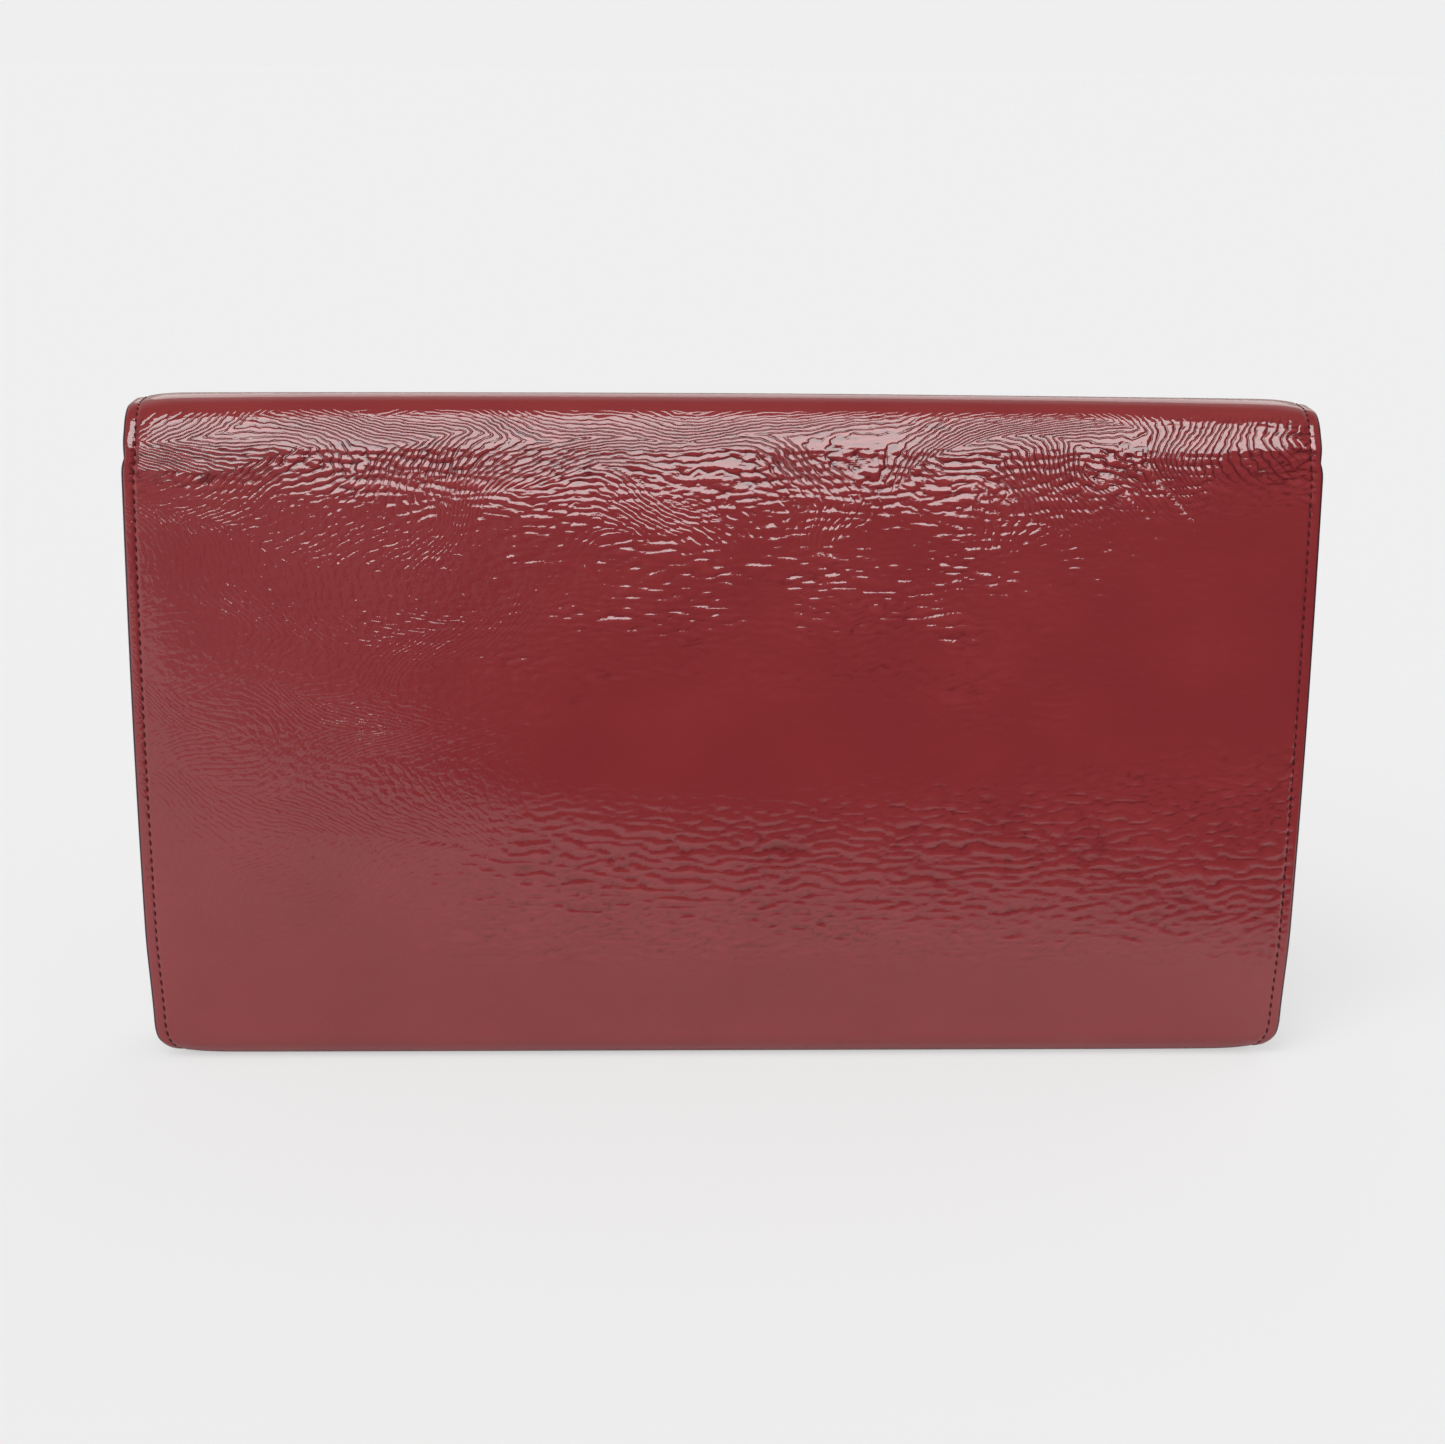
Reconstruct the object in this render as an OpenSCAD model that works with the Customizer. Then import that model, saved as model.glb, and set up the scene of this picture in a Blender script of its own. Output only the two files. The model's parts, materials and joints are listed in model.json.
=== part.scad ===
// Flap clutch in patent leather.
// One hide wraps the base, the back and the top fold and comes down in front as the flap.
// A separate front panel and two folded gussets close the main compartment.
// X is the width, Y the depth with the back at -Y and the flap at +Y, Z is up.
// The origin is on the base, at the middle of the closed clutch.

/* [Body] */
// Width, side to side
body_w = 278; // [220:1:340]
// Height, from the base to the top fold
body_h = 163; // [132:1:200]
// Depth of the closed clutch, back to flap
body_d = 28; // [24:0.5:36]
// Outer radius of the two folds along the top
top_r = 11; // [9:0.5:13.5]
// Outer radius of the two folds along the base
base_r = 6; // [5:0.5:8]
// Rounding of the lower corners of the back and front
corner_r = 8; // [5:0.5:12]
// Lean of the front panel towards the back, in degrees
front_lean = 1.8; // [0.5:0.1:2.2]
// Drop from the top fold to the front panel's top edge
mouth_drop = 13.5; // [12:0.5:20]

/* [Flap] */
// Drop from the top fold to the flap's lower edge
flap_drop = 118; // [95:1:125]
// Rounding of the flap's lower corners
flap_corner_r = 18; // [8:1:30]

/* [Layers] */
// Outer leather
leather_t = 1.1; // [0.9:0.05:1.4]
// Foam fleece between the leather and the stiffener
padding_t = 1; // [0.8:0.05:1.3]
// Stiffener board
board_t = 0.9; // [0.6:0.05:1.2]
// Lining
lining_t = 0.6; // [0.4:0.05:0.8]
// Width of the stitched seam along each side edge
seam_w = 4; // [3:0.5:6]
// Distance from the padded area's edge to the stiffener's edge
board_inset = 3; // [1:0.5:8]

/* [Gussets] */
// Thickness of the gusset leather
gusset_t = 1; // [0.8:0.05:1.2]
// Depth of the inward fold at the mouth
gusset_fold = 24; // [18:1:32]
// Depth of the inward fold at the base
gusset_fold_base = 10; // [9:0.5:14]

/* [Slip pocket] */
// Width of the pocket
pocket_w = 190; // [120:1:200]
// Height of the pocket
pocket_h = 92; // [60:1:100]
// Distance from the base to the pocket's lower edge
pocket_lift = 14; // [8:1:20]
// Thickness of the pocket cloth
pocket_t = 0.6; // [0.4:0.05:0.8]
// Seam width around the pocket
pocket_seam_w = 3; // [2:0.5:5]
// Free space inside the empty pocket
pocket_slack = 0.5; // [0.3:0.1:1]
// Height of the leather strip along the pocket's mouth
pocket_trim_h = 9; // [6:0.5:14]
// Thickness of that strip
pocket_trim_t = 0.6; // [0.4:0.05:0.8]

/* [Snap] */
// Distance from the flap's lower edge to the snap's centre
snap_lift = 17; // [14:0.5:26]
// Radius of the socket and of the stud's disc
snap_r = 7.5; // [6.5:0.25:9]
// Height of the closed socket
socket_h = 2.2; // [2:0.1:2.8]
// Thickness of the stud's disc
disc_t = 0.8; // [0.5:0.1:1]
// Radius of the stud
stud_r = 3; // [2.5:0.1:3.5]
// Length of the stud past its disc
stud_l = 1.5; // [1.2:0.1:1.7]
// Play between the stud and the socket's hole, on the radius
stud_play = 0.6; // [0.5:0.05:0.8]
// Space left between the disc and the socket when closed
snap_clear = 0.55; // [0.4:0.05:0.9]
// Wall of the pressed socket shell
shell_t = 0.4; // [0.3:0.05:0.5]
// Thickness of a folded prong
prong_t = 0.4; // [0.3:0.05:0.5]
// Width of a prong
prong_w = 4; // [3:0.5:5]
// Distance of a prong from the snap's centre
prong_x = 4; // [3.5:0.25:4.5]
// Length of the prong's folded end
prong_fold = 2.6; // [2:0.2:3.4]

/* [Clearances] */
// Gap between soft pieces that move against each other
soft_gap = 0.3; // [0.2:0.05:0.4]
// Gap between the snap's own pieces
snap_gap = 0.1; // [0.05:0.05:0.2]

/* [Hidden] */

leather_red = [0.52, 0.16, 0.18];
lining_red = [0.33, 0.10, 0.12];
foam_white = [0.86, 0.84, 0.80];
board_tan = [0.66, 0.55, 0.40];
snap_gold = [0.80, 0.66, 0.40];
magnet_grey = [0.35, 0.35, 0.37];

arc_fn = 96;
reach = 60;                    // longer than any cut made by the zones
step_w = 2.2;                  // width in which the gusset climbs from the seam onto the lining
padded_t = leather_t + padding_t + board_t;
stack_t = padded_t + lining_t;
lined_inset = seam_w + step_w + soft_gap;
fold_gap = soft_gap;           // gap between two bodies at a crease

flap_edge_z = body_h - flap_drop;
mouth_z = body_h - mouth_drop;
snap_z = flap_edge_z + snap_lift;
back_y = -body_d / 2;
flap_y = body_d / 2;

// The front panel stands just far enough behind the flap for the closed snap.
front_y = flap_y - stack_t - socket_h - disc_t - snap_clear + (snap_z - base_r) * tan(front_lean);

// Centres of the four folds, in the YZ plane.
top_back = [back_y + top_r, body_h - top_r];
top_front = [flap_y - top_r, body_h - top_r];
base_back = [back_y + base_r, base_r];
base_front = [front_y - base_r, base_r];
front_l = (mouth_z - base_r) / cos(front_lean);

function dir(a) = [cos(a), sin(a)];

// Y of a surface in the front panel, at height z and at a depth below its outer face.
function front_at(z, depth) =
  base_front[0] + (base_r - depth) / cos(front_lean) - (z - base_r) * tan(front_lean);

// Height along the leaning front panel that lies level with the snap's centre.
function snap_along() =
  (snap_z - base_r) * cos(front_lean)
  - (front_at(snap_z, 0) - base_front[0]) * sin(front_lean);

// ---------- 2D profiles in the YZ plane ----------

module ring_sector(c, r, t0, t1, a0, a1) {
  translate(c)
    intersection() {
      difference() {
        circle(r - t0, $fn = arc_fn);
        circle(r - t1, $fn = arc_fn);
      }
      polygon([[0, 0], reach * dir(a0), reach * dir((a0 + a1) / 2), reach * dir(a1)]);
    }
}

// The wrap between two depths below its outer face, from the base's front fold to the flap's edge.
module wrap_band(t0, t1) {
  ring_sector(base_front, base_r, t0, t1, 270, 330);
  translate([base_back[0], t0])
    square([base_front[0] - base_back[0], t1 - t0]);
  ring_sector(base_back, base_r, t0, t1, 180, 270);
  translate([back_y + t0, base_r])
    square([t1 - t0, body_h - top_r - base_r]);
  ring_sector(top_back, top_r, t0, t1, 90, 180);
  translate([top_back[0], body_h - t1])
    square([top_front[0] - top_back[0], t1 - t0]);
  ring_sector(top_front, top_r, t0, t1, 0, 90);
  translate([flap_y - t1, flap_edge_z])
    square([t1 - t0, body_h - top_r - flap_edge_z]);
}

// The front panel between two depths, upright, with its half of the base's front fold.
module front_band(t0, t1) {
  ring_sector([-base_r, 0], base_r, t0, t1, -60, 0);
  translate([-t1, 0])
    square([t1 - t0, front_l]);
}

// Each zone is the part of the YZ plane that belongs to one body.
module body_zone() {
  back_cut = top_back - fold_gap / 2 * dir(45);
  front_cut = base_front - fold_gap / 2 * dir(45);
  polygon([back_cut, back_cut + reach * dir(135), [-reach, -reach],
           front_cut + reach * dir(-45), front_cut]);
}

module spine_zone() {
  back_cut = top_back + fold_gap / 2 * dir(45);
  front_cut = top_front + fold_gap / 2 * dir(135);
  polygon([back_cut, back_cut + reach * dir(135), front_cut + reach * dir(45), front_cut]);
}

module flap_zone() {
  cut = top_front - fold_gap / 2 * dir(135);
  polygon([cut, cut + reach * dir(45), [2 * reach, 0], [flap_y - stack_t - 1, 0]]);
}

// Drawn around the upright front band, so the crease is turned back by the lean.
module front_zone() {
  crease = -45 - front_lean;
  cut = [-base_r, 0] + fold_gap / 2 * dir(crease + 90);
  polygon([cut, cut + reach * dir(crease), [reach, 2 * body_h], [-body_d, 2 * body_h]]);
}

// ---------- 2D outlines in the XZ plane ----------

module rounded_panel(w, z0, z1, r) {
  translate([-w / 2, z0 + r])
    square([w, z1 - z0 - r]);
  translate([-w / 2 + r, z0])
    square([w - 2 * r, r]);
  for (side = [-1, 1])
    translate([side * (w / 2 - r), z0 + r])
      circle(r, $fn = arc_fn);
}

module body_outline() {
  rounded_panel(body_w, 0, body_h, corner_r);
}

// The padding and the lining stop short of the gusset seams, up to the mouth.
module lined_outline() {
  rounded_panel(body_w - 2 * lined_inset, 0, body_h, corner_r);
  translate([-body_w / 2, mouth_z + soft_gap])
    square([body_w, mouth_drop]);
}

// Outline of a front panel layer, with z = 0 at the base fold's upper end.
module front_outline(inset) {
  rounded_panel(body_w - 2 * inset, -base_r, front_l, corner_r);
}

module flap_outline() {
  rounded_panel(body_w, flap_edge_z, body_h, flap_corner_r);
}

// ---------- turning profiles and outlines into solids ----------

module along_x() {
  rotate([90, 0, 90])
    linear_extrude(2 * body_w, center = true)
      children();
}

module along_y() {
  rotate([90, 0, 0])
    linear_extrude(4 * body_d, center = true)
      children();
}

// children(0) is the YZ profile, children(1) the XZ outline.
module shaped() {
  intersection() {
    along_x() children(0);
    along_y() children(1);
  }
}

// Places children on the leaning front panel, y = 0 on its outer face, z = 0 at the base fold.
module on_front() {
  translate([0, base_front[0], base_r])
    rotate([front_lean, 0, 0])
      translate([0, base_r, 0])
        children();
}

// ---------- back, base and pocket ----------

module back_board_shape() {
  half = body_w / 2 - lined_inset - board_inset;
  low = corner_r + board_inset;
  translate([-half, back_y + leather_t + padding_t, low])
    cube([2 * half, board_t, body_h - top_r - board_inset - low]);
}

module base_board_shape() {
  half = body_w / 2 - lined_inset - corner_r - board_inset / 2;
  translate([-half, base_back[0], leather_t + padding_t])
    cube([2 * half, base_front[0] - base_back[0], board_t]);
}

module body_leather() {
  color(leather_red)
    shaped() {
      intersection() {
        wrap_band(0, leather_t);
        body_zone();
      }
      body_outline();
    }
}

module body_padding() {
  color(foam_white)
    difference() {
      shaped() {
        intersection() {
          wrap_band(leather_t, padded_t);
          body_zone();
        }
        lined_outline();
      }
      back_board_shape();
      base_board_shape();
    }
}

module back_board() {
  color(board_tan)
    back_board_shape();
}

module base_board() {
  color(board_tan)
    base_board_shape();
}

module body_lining() {
  color(lining_red)
    shaped() {
      intersection() {
        wrap_band(padded_t, stack_t);
        body_zone();
      }
      lined_outline();
    }
}

// A cloth panel sewn to the back lining along its sides and its lower edge, open at the top.
module slip_pocket() {
  color(lining_red)
    translate([-pocket_w / 2, back_y + stack_t, pocket_lift])
      difference() {
        cube([pocket_w, pocket_slack + pocket_t, pocket_h]);
        translate([pocket_seam_w, -1, pocket_seam_w])
          cube([pocket_w - 2 * pocket_seam_w, 1 + pocket_slack, pocket_h]);
      }
}

module pocket_trim() {
  color(leather_red)
    translate([-pocket_w / 2, back_y + stack_t + pocket_slack + pocket_t,
               pocket_lift + pocket_h - pocket_trim_h])
      cube([pocket_w, pocket_trim_t, pocket_trim_h]);
}

// ---------- gussets ----------

// Outline of the V-folded gusset at height z, as [inward from the side edge, y].
function gusset_ring(z, fold) =
  let (
    t = gusset_t,
    back_seam = back_y + leather_t,
    back_lining = back_y + stack_t + soft_gap,
    front_seam = front_at(z, leather_t) - soft_gap,
    front_lining = front_at(z, stack_t) - soft_gap,
    crest = (back_lining + front_lining) / 2
  )
  [
    [0, back_seam], [seam_w, back_seam], [seam_w + step_w, back_lining],
    [fold + t / 2, crest],
    [seam_w + step_w, front_lining], [seam_w, front_seam], [0, front_seam],
    [0, front_seam - t], [seam_w - t / 2, front_seam - t],
    [seam_w + step_w - t / 2, front_lining - t],
    [fold - t, crest],
    [seam_w + step_w - t / 2, back_lining + t],
    [seam_w - t / 2, back_seam + t], [0, back_seam + t]
  ];

module gusset(side) {
  base_z = base_r + soft_gap;
  low = gusset_ring(base_z, gusset_fold_base);
  high = gusset_ring(mouth_z, gusset_fold);
  n = len(low);
  points = concat(
    [for (p = low) [side * (body_w / 2 - p[0]), p[1], base_z]],
    [for (p = high) [side * (body_w / 2 - p[0]), p[1], mouth_z]]
  );
  walls = [for (i = [0:n - 1]) each
    let (j = (i + 1) % n) [[i, i + n, j], [j, i + n, j + n]]];
  lids = [for (i = [0:n / 2 - 2]) each
    let (j = n - 1 - i) [[i, i + 1, j - 1, j], [i + 1 + n, i + n, j + n, j - 1 + n]]];
  faces = concat(walls, lids);
  turned = side > 0 ? [for (f = faces) [for (i = [len(f) - 1:-1:0]) f[i]]] : faces;
  polyhedron(points, turned);
}

module gusset_left() {
  color(leather_red)
    gusset(-1);
}

module gusset_right() {
  color(leather_red)
    gusset(1);
}

// ---------- spine: the strip over the top ----------

module spine_leather() {
  color(leather_red)
    shaped() {
      intersection() {
        wrap_band(0, leather_t);
        spine_zone();
      }
      body_outline();
    }
}

module spine_padding() {
  color(foam_white)
    shaped() {
      intersection() {
        wrap_band(leather_t, padded_t);
        spine_zone();
      }
      body_outline();
    }
}

module spine_lining() {
  color(lining_red)
    shaped() {
      intersection() {
        wrap_band(padded_t, stack_t);
        spine_zone();
      }
      body_outline();
    }
}

// ---------- flap ----------

module flap_board_shape() {
  half = body_w / 2 - seam_w - board_inset;
  low = flap_edge_z + seam_w + board_inset;
  top = body_h - top_r - board_inset;
  intersection() {
    translate([-half, flap_y - padded_t, low])
      cube([2 * half, board_t, top - low]);
    along_y() rounded_panel(2 * half, low, body_h, flap_corner_r - seam_w - board_inset);
  }
}

// Two slots for the prongs, through everything along Y.
module prong_slots(play) {
  for (side = [-1, 1])
    translate([side * prong_x - prong_t / 2 - play, -body_d, -prong_w / 2 - play])
      cube([prong_t + 2 * play, 2 * body_d, prong_w + 2 * play]);
}

// Washer on its own axis, from y = 0 towards +Y, pierced for the prongs.
module washer_shape() {
  difference() {
    rotate([-90, 0, 0])
      cylinder(h = padding_t - prong_t, r = snap_r, $fn = arc_fn);
    prong_slots(snap_gap);
  }
}

// Round recess through the padding for the washer and the folded prongs.
module washer_recess() {
  rotate([-90, 0, 0])
    cylinder(h = padding_t, r = snap_r + snap_gap, $fn = arc_fn);
}

// Two flat prongs that run to +Y for a length and fold outwards at the end.
module prongs(l) {
  for (side = [-1, 1]) {
    translate([side * prong_x - prong_t / 2, 0, -prong_w / 2])
      cube([prong_t, l, prong_w]);
    translate([side > 0 ? prong_x - prong_t / 2 : -prong_x + prong_t / 2 - prong_fold,
               l - prong_t, -prong_w / 2])
      cube([prong_fold, prong_t, prong_w]);
  }
}

// Carries children to the snap's centre on the flap's lining, with +Y outwards.
module at_stud() {
  translate([0, flap_y - stack_t, snap_z])
    children();
}

module flap_leather() {
  color(leather_red)
    shaped() {
      intersection() {
        wrap_band(0, leather_t);
        flap_zone();
      }
      flap_outline();
    }
}

module flap_padding() {
  color(foam_white)
    difference() {
      shaped() {
        intersection() {
          wrap_band(leather_t, padded_t);
          flap_zone();
        }
        flap_outline();
      }
      flap_board_shape();
      at_stud()
        translate([0, lining_t + board_t, 0])
          washer_recess();
    }
}

module flap_board() {
  color(board_tan)
    difference() {
      flap_board_shape();
      at_stud()
        prong_slots(snap_gap);
    }
}

module flap_lining() {
  color(lining_red)
    difference() {
      shaped() {
        intersection() {
          wrap_band(padded_t, stack_t);
          flap_zone();
        }
        flap_outline();
      }
      at_stud()
        prong_slots(snap_gap);
    }
}

module snap_stud() {
  color(snap_gold)
    at_stud() {
      rotate([90, 0, 0])
        cylinder(h = disc_t, r = snap_r, $fn = arc_fn);
      rotate([90, 0, 0])
        cylinder(h = disc_t + stud_l, r = stud_r, $fn = arc_fn);
      prongs(lining_t + board_t + padding_t);
    }
}

module stud_washer() {
  color(snap_gold)
    at_stud()
      translate([0, lining_t + board_t, 0])
        washer_shape();
}

// ---------- front panel and socket ----------

module front_board_shape() {
  half = body_w / 2 - lined_inset - board_inset;
  low = corner_r + board_inset - base_r;
  on_front()
    translate([-half, -padded_t, low])
      cube([2 * half, board_t, front_l - board_inset - low]);
}

// Carries children to the snap's centre on the front panel's face, with +Y inwards.
module at_socket() {
  on_front()
    translate([0, 0, snap_along()])
      rotate([0, 0, 180])
        children();
}

module front_layer(t0, t1, inset) {
  on_front()
    shaped() {
      intersection() {
        front_band(t0, t1);
        front_zone();
      }
      front_outline(inset);
    }
}

module front_leather() {
  color(leather_red)
    difference() {
      front_layer(0, leather_t, 0);
      at_socket()
        prong_slots(snap_gap);
    }
}

module front_padding() {
  color(foam_white)
    difference() {
      front_layer(leather_t, padded_t, lined_inset);
      front_board_shape();
      at_socket()
        translate([0, leather_t, 0])
          washer_recess();
    }
}

module front_board() {
  color(board_tan)
    front_board_shape();
}

module front_lining() {
  color(lining_red)
    front_layer(padded_t, stack_t, lined_inset);
}

// Thickness of the disc under the magnet.
function socket_base_t() = shell_t + snap_gap;

module snap_base() {
  color(magnet_grey)
    at_socket() {
      rotate([90, 0, 0])
        cylinder(h = socket_base_t(), r = snap_r, $fn = arc_fn);
      prongs(leather_t + padding_t);
    }
}

module snap_magnet() {
  color(magnet_grey)
    at_socket()
      rotate([90, 0, 0])
        translate([0, 0, socket_base_t()])
          difference() {
            cylinder(h = socket_h - socket_base_t() - shell_t - snap_gap,
                     r = snap_r - shell_t - snap_gap, $fn = arc_fn);
            translate([0, 0, -1])
              cylinder(h = socket_h + 2, r = stud_r + stud_play + shell_t + snap_gap,
                       $fn = arc_fn);
          }
}

// Pressed shell over the magnet, with the hole for the stud.
module snap_cup() {
  hole_r = stud_r + stud_play;
  shell_h = socket_h - socket_base_t();
  color(snap_gold)
    at_socket()
      rotate([90, 0, 0])
        translate([0, 0, socket_base_t()])
          difference() {
            cylinder(h = shell_h, r = snap_r, $fn = arc_fn);
            translate([0, 0, -1])
              cylinder(h = shell_h + 2, r = hole_r, $fn = arc_fn);
            difference() {
              translate([0, 0, -1])
                cylinder(h = shell_h - shell_t + 1, r = snap_r - shell_t, $fn = arc_fn);
              translate([0, 0, -2])
                cylinder(h = shell_h + 2, r = hole_r + shell_t, $fn = arc_fn);
            }
          }
}

module socket_washer() {
  color(snap_gold)
    at_socket()
      translate([0, leather_t, 0])
        washer_shape();
}

body_leather();
body_padding();
back_board();
base_board();
body_lining();
slip_pocket();
pocket_trim();
gusset_left();
gusset_right();
spine_leather();
spine_padding();
spine_lining();
flap_leather();
flap_padding();
flap_board();
flap_lining();
snap_stud();
stud_washer();
front_leather();
front_padding();
front_board();
front_lining();
snap_base();
snap_magnet();
snap_cup();
socket_washer();
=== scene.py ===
"""Flap clutch in crinkled patent leather: its visible pieces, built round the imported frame.

Lengths are in millimetres until a mesh is written, and then in metres. X runs along the width,
the back of the clutch is at -Y, the flap is at +Y and Z is up.
"""

import json
import logging
import math
from collections.abc import Callable
from dataclasses import dataclass
from enum import Enum
from functools import partial

import bmesh
import bpy
import numpy as np
from mathutils import Matrix
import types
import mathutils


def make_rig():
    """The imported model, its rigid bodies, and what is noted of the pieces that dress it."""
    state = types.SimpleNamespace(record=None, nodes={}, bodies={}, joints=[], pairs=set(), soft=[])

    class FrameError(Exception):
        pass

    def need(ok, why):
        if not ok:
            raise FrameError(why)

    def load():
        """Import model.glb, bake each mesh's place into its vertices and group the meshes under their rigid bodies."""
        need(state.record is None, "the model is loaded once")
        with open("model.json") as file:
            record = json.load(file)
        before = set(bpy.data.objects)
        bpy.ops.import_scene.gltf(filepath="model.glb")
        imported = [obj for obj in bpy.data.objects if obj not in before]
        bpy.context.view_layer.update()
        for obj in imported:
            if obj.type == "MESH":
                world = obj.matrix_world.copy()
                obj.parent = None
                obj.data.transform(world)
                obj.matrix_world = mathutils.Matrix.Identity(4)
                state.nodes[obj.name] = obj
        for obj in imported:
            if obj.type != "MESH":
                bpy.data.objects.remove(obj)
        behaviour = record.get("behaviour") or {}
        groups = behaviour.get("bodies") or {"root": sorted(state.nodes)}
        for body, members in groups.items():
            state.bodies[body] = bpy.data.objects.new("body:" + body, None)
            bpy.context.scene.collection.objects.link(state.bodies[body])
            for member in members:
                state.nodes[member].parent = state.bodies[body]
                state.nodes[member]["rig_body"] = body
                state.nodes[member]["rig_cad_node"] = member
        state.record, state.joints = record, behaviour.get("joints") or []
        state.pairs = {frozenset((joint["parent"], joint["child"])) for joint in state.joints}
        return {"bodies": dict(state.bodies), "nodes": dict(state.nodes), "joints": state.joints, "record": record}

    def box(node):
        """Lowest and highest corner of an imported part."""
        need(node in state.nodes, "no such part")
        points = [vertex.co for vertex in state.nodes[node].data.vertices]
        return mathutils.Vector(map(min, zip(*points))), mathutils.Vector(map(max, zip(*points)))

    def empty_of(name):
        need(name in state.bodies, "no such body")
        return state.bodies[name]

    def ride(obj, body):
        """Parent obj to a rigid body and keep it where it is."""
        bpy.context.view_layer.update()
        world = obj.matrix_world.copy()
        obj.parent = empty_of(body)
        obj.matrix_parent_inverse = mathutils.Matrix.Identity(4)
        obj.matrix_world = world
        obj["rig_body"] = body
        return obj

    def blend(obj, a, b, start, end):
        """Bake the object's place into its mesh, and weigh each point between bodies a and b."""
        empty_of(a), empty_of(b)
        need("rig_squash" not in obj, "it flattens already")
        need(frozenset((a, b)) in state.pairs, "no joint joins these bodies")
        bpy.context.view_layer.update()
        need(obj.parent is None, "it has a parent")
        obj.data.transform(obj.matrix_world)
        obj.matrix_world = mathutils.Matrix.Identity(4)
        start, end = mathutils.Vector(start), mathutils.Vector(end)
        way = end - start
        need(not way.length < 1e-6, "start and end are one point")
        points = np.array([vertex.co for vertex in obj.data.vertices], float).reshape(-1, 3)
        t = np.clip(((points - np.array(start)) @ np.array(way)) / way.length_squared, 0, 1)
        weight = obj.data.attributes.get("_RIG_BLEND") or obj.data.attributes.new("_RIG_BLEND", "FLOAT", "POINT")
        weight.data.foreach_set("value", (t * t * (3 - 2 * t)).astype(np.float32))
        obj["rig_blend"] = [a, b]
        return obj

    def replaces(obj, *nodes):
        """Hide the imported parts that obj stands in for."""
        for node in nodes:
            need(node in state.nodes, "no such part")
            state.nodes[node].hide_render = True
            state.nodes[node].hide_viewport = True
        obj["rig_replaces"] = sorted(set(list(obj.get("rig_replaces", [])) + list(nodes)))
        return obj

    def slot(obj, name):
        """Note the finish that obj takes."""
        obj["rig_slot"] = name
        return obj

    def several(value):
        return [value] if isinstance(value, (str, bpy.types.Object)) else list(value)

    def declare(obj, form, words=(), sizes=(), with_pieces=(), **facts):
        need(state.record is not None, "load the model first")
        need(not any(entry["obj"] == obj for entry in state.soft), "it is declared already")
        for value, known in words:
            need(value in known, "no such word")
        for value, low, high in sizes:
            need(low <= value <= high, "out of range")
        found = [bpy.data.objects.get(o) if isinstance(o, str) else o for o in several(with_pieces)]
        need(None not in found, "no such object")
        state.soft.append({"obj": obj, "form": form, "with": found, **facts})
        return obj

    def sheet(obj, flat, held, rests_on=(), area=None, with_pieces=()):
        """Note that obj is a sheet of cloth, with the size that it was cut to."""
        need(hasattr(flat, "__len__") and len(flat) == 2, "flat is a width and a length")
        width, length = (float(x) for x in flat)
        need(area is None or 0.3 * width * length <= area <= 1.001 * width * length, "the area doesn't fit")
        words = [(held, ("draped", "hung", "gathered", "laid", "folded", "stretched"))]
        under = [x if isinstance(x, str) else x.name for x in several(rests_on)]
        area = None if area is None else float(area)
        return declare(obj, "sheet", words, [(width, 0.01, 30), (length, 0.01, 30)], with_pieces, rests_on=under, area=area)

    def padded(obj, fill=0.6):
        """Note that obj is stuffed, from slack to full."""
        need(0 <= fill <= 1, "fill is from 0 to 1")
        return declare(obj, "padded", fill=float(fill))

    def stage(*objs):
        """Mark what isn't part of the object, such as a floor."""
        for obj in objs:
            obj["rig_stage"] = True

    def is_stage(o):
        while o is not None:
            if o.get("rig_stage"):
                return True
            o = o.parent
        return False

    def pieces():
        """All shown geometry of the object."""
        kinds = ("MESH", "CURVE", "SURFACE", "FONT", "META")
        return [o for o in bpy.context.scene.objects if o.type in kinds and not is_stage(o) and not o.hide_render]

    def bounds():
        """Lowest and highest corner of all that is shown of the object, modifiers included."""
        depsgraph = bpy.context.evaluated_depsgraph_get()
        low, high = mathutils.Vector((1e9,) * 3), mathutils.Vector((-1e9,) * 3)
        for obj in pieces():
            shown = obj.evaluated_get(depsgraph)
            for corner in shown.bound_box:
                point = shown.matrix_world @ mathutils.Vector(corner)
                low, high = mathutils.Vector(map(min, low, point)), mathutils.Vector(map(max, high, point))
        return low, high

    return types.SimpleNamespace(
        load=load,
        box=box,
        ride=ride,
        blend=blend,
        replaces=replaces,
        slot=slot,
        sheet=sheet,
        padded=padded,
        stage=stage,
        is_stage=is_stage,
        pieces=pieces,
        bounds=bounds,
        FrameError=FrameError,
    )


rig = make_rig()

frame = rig.load()

MM = 0.001
SIZE_FILE = "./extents.json"
# Added to places along the leather in UV maps, so that a pattern never meets its own origin.
UV_SHIFT = 1000
LOG = logging.getLogger("clutch")
Array = np.ndarray
Node = bpy.types.Node
Adder = Callable[..., Node]
Point = tuple[float, float, float]


class Body(Enum):
    """The bodies of the frame that a piece can ride on."""

    ROOT = "root"
    SPINE = "spine"
    FLAP = "flap"
    FRONT = "front"


class Slot(Enum):
    """The record's material slots."""

    PATENT = "patent_leather"
    GUSSET = "gusset_leather"
    LINING = "lining"
    FLEECE = "foam_fleece"
    BOARD = "stiffener"
    BRASS = "snap_brass"
    STEEL = "snap_steel"


# ---------------------------------------------------------------------------
# numbers and fields


def smooth(t: Array) -> Array:
    """Ease from 0 to 1: 3t^2 - 2t^3, with t held between 0 and 1."""
    t = np.clip(t, 0, 1)
    return t * t * (3 - 2 * t)


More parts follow.
